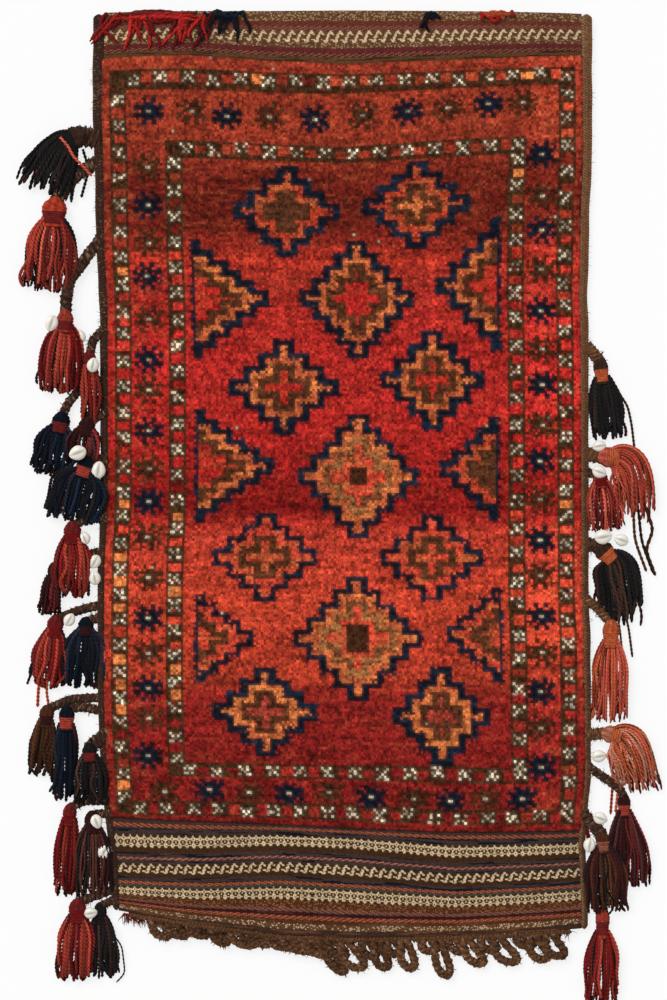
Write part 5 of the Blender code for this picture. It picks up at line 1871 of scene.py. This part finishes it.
@dataclass
class ShellTrim:
    """White shells sewn beside the tassels."""

    breadth: float = 0.82
    height: float = 8.5 * MM
    rows: int = 26
    columns: int = 20
    floor_gap: float = 0.3 * MM

    WHITE = (0.92, 0.90, 0.85)

    def surface(self, turn: float, length: float) -> tuple[Array, Array]:
        """One shell about the origin and its dyes.

        Along t from end to end the half width is sin(pi t)^0.55, fuller towards one end. The
        section is an ellipse that is flatter below. A slit along the crown is pressed in as a
        narrow bell curve of the angle, and the same curve darkens the dyes as painted shade in the
        slit.
        """
        t = np.linspace(0.004, 0.996, self.rows)[:, None]
        angle = 2 * np.pi * np.arange(self.columns)[None] / self.columns
        girth = np.sin(np.pi * t) ** 0.55 * (1 + 0.2 * (0.5 - t))
        slit = np.exp(-((angle - 0.5 * np.pi) / 0.2) ** 2) * np.sin(np.pi * t) ** 0.5
        across = 0.5 * self.breadth * length * girth * np.cos(angle)
        lift = np.where(np.sin(angle) > 0, 1.0, 0.75)
        up = 0.5 * self.height * girth * np.sin(angle) * lift * (1 - 0.2 * slit)
        along = length * (t - 0.5) + 0 * angle
        c, s = math.cos(math.radians(turn)), math.sin(math.radians(turn))
        points = np.stack([c * along - s * across, s * along + c * across, up], axis=-1)
        # Painted shade: the dyes darken by up to 0.6 along the slit, as shade inside the shell's
        # opening.
        dyes = np.array(self.WHITE) * (1 - 0.6 * slit[..., None])
        return points, dyes

    def build(self, finish: Material) -> None:
        """Make every shell at its node's height."""
        for number, (node, x, y, turn, length) in enumerate(SHELLS):
            flip = 180 if number % 3 == 0 else 0
            points, dyes = self.surface(turn + flip, length * MM)
            low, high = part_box(node)
            middle = 0.5 * (low[2] + high[2]) + 1.5 * MM
            points = points + np.array([x * MM, y * MM, middle])
            points[..., 2] = np.maximum(points[..., 2], self.floor_gap)
            stock = Stock()
            add_tubes(stock, points[None, :, ::-1], dyes[None, :, ::-1])
            stock.make(f"sewn_{node}", finish, node)


@dataclass(frozen=True)
class Tuft:
    """Loose yarns at the fold: node, slot, dyes, ends across and heights in millimetres.

    Some yarns lie along the fold, the others hang from it over the face.
    """

    node: str
    slot: str
    yarns: tuple[Dye, ...]
    left: float
    right: float
    low: float
    high: float
    lying: int
    hanging: int
    lean: float


TUFTS = (
    Tuft("fold_tuft_red", "madder_red", (Dye.RED, Dye.CRIMSON, Dye.RED, Dye.WINE), -238,
         -134, 428, 468, 9, 30, -0.1),
    Tuft("fold_tuft_navy", "indigo_navy", (Dye.NAVY, Dye.BLUE, Dye.BLACK), -142, -98, 434, 468,
         8, 9, 0.1),
    Tuft("fold_tuft_black", "black_wool", (Dye.BLACK, Dye.NAVY), 78, 100, 443, 470, 2, 3, -0.6),
    Tuft("fold_tuft_orange", "brick_orange", (Dye.BRICK, Dye.RED, Dye.ORANGE), 134, 170, 456,
         469, 5, 4, 0.2),
)


@dataclass
class FoldTufts:
    """Remnants of yarn tufts along the folded end."""

    shape: BagShape
    steps: int = 30
    sides: int = 7
    thick: float = 2.1 * MM
    above: float = 2.0 * MM
    pile_top: float = 426 * MM
    pile_height: float = 5.0 * MM
    slope: float = 6 * MM
    span: tuple[float, float] = (-0.243, 0.238)

    def paths(self, rng: Random, tuft: Tuft) -> Paths:
        """Paths of one tuft's yarns, as they lie on the face of the bag.

        A lying yarn runs across with a wave; a hanging one runs down from the fold with a
        sideways wave. Both keep a little above the face, the later ones on top of the earlier.
        """
        t = np.linspace(0, 1, self.steps)[None]
        lying = rng.uniform(tuft.left, tuft.left + 0.3 * (tuft.right - tuft.left), tuft.lying)
        across = rng.uniform(0.5, 1.0, tuft.lying) * (tuft.right - lying)
        level = rng.uniform(tuft.high - 9, tuft.high - 3, tuft.lying)
        x_lying = lying[:, None] + across[:, None] * t
        y_lying = level[:, None] + self.wave(rng, tuft.lying, 2.0)
        root = rng.uniform(tuft.left, tuft.right, tuft.hanging)
        high = rng.uniform(tuft.high - 5, tuft.high, tuft.hanging)
        length = rng.uniform(0.55, 1.0, tuft.hanging) * (high - tuft.low)
        lean = (tuft.lean + rng.normal(0, 0.35, tuft.hanging)) * length
        x_hanging = root[:, None] + lean[:, None] * t + self.wave(rng, tuft.hanging, 3.2)
        y_hanging = high[:, None] - length[:, None] * t
        x = np.concatenate([x_lying, x_hanging]) * MM
        y = np.concatenate([y_lying, y_hanging]) * MM
        pile = self.pile_height * np.clip((self.pile_top - y) / self.slope, 0, 1)
        order = rng.uniform(0, 2.0, (len(x), 1)) * MM
        z = self.shape.face(np.clip(x, *self.span), y) + pile + self.above + order
        return np.stack([x, y, z], axis=-1)

    def wave(self, rng: Random, count: int, size: float) -> Array:
        """Slow waves of a random phase and size, one row for each yarn."""
        t = np.linspace(0, 1, self.steps)[None]
        turns = rng.uniform(0.5, 1.4, (count, 1))
        phase = rng.random((count, 1))
        return rng.normal(0, size, (count, 1)) * np.sin(2 * np.pi * (turns * t + phase))

    def build(self, finish: Material) -> None:
        """Make each tuft of loose yarns that lie over the fold."""
        for seed, tuft in enumerate(TUFTS):
            rng = np.random.default_rng(seed + 61)
            paths = self.paths(rng, tuft)
            count = len(paths)
            stock = Stock()
            swell = plied((count, self.steps, self.sides), np.full(count, 4.0), depth=0.16)
            swell = swell * (1 + 0.05 * rng.standard_normal(swell.shape))
            width = np.interp(np.linspace(0, 1, self.steps), [0, 0.1, 0.8, 1], [0.5, 1, 1, 0.4])
            half = width[None] * self.thick
            rings = rings_along(paths, half, half, self.sides, swell)
            picks = np.array([dye.light for dye in tuft.yarns])
            base = tint(rng, picks[rng.integers(0, len(picks), count)], 0.2)[:, None, None]
            # Painted shade: each yarn is darker in the grooves between its plies.
            shade = 0.5 + 0.6 * (swell[..., None] - 0.6) / 0.4
            add_tubes(stock, rings, tint(rng, base * shade, 0.15))
            stock.make(f"loose_{tuft.node}", finish, tuft.node)


@dataclass
class Studio:
    """Floor, lamps and the camera straight above."""

    camera_height: float = 3.0
    camera_middle: tuple[float, float] = (-11.5 * MM, -22 * MM)
    seen_height: float = 1.0
    face_height: float = 18 * MM
    sensor: float = 36.0
    floor_size: float = 12.0
    floor_drop: float = 0.2 * MM
    sky_strength: float = 0.55
    sun_strength: float = 1.9
    sun_spread: float = 35.0
    sun_lean: tuple[float, float] = (-32.0, -30.0)

    def build(self) -> None:
        """Make the floor, the world's light, a broad lamp and the camera."""
        bpy.ops.mesh.primitive_plane_add(size=self.floor_size,
                                         location=(0, 0, -self.floor_drop))
        floor = bpy.context.object
        floor.name = "floor"
        floor.data.materials.append(FloorFinish().material())
        world = bpy.data.worlds.new("studio")
        bpy.context.scene.world = world
        world.use_nodes = True
        background = world.node_tree.nodes["Background"]
        background.inputs["Color"].default_value = (1.0, 1.0, 1.0, 1.0)
        background.inputs["Strength"].default_value = self.sky_strength
        sun = bpy.data.lights.new("window_light", "SUN")
        sun.energy = self.sun_strength
        sun.angle = math.radians(self.sun_spread)
        lamp = bpy.data.objects.new("window_light", sun)
        lamp.rotation_euler = (*np.radians(self.sun_lean), 0.0)
        bpy.context.scene.collection.objects.link(lamp)
        data = bpy.data.cameras.new("camera")
        data.sensor_width = self.sensor
        data.lens = self.sensor * (self.camera_height - self.face_height) / self.seen_height
        camera = bpy.data.objects.new("camera", data)
        camera.location = (*self.camera_middle, self.camera_height)
        bpy.context.scene.collection.objects.link(camera)
        bpy.context.scene.camera = camera
        bpy.context.scene.view_settings.view_transform = "Standard"


def main() -> None:
    """Build every piece of the bag and its studio."""
    logging.basicConfig(level=logging.INFO, format="%(name)s %(message)s")
    shape = BagShape()
    pile_wool = WoolFinish("pile_wool", fibre=(700.0, 420.0, 700.0), contrast=1.05, wear=0.22,
                           relief=0.9, depth=1.2 * MM).material()
    flat_wool = WoolFinish("flat_wool", fibre=(800.0, 800.0, 800.0), contrast=0.6, wear=0.2,
                           relief=0.7, depth=0.5 * MM).material()
    plain_weave = WoolFinish("plain_weave", fibre=(180.0, 900.0, 400.0), contrast=0.5,
                             wear=0.25).material()
    yarn = WoolFinish("plied_yarn", fibre=(7.0, 900.0, 1.0), contrast=0.6, wear=0.15,
                      relief=0.6, depth=0.4 * MM, on_weave=True).material()
    hair = WoolFinish("goat_hair", fibre=(600.0, 600.0, 600.0), contrast=0.7, wear=0.2,
                      relief=0.7, depth=0.5 * MM).material()
    pile = PileFace(shape).build(pile_wool)
    mouth_band = FlatWeave(shape, "mouth_band", MOUTH_STRIPES, rows=136).build(flat_wool)
    fold_band = FlatWeave(shape, "fold_band", FOLD_STRIPES, rows=72, seed=12).build(flat_wool)
    BagCloth(shape).build(plain_weave, [pile, mouth_band, fold_band])
    for side in (-1, 1):
        SideBinding(shape, side).build(hair)
    MouthCord(shape).build(hair)
    for seed, tassel in enumerate(TASSELS):
        TasselMaker(tassel, 100 + seed).build(yarn)
    ShellTrim().build(ShellFinish().material())
    FoldTufts(shape).build(yarn)
    Studio().build()


if __name__ == "__main__":
    main()
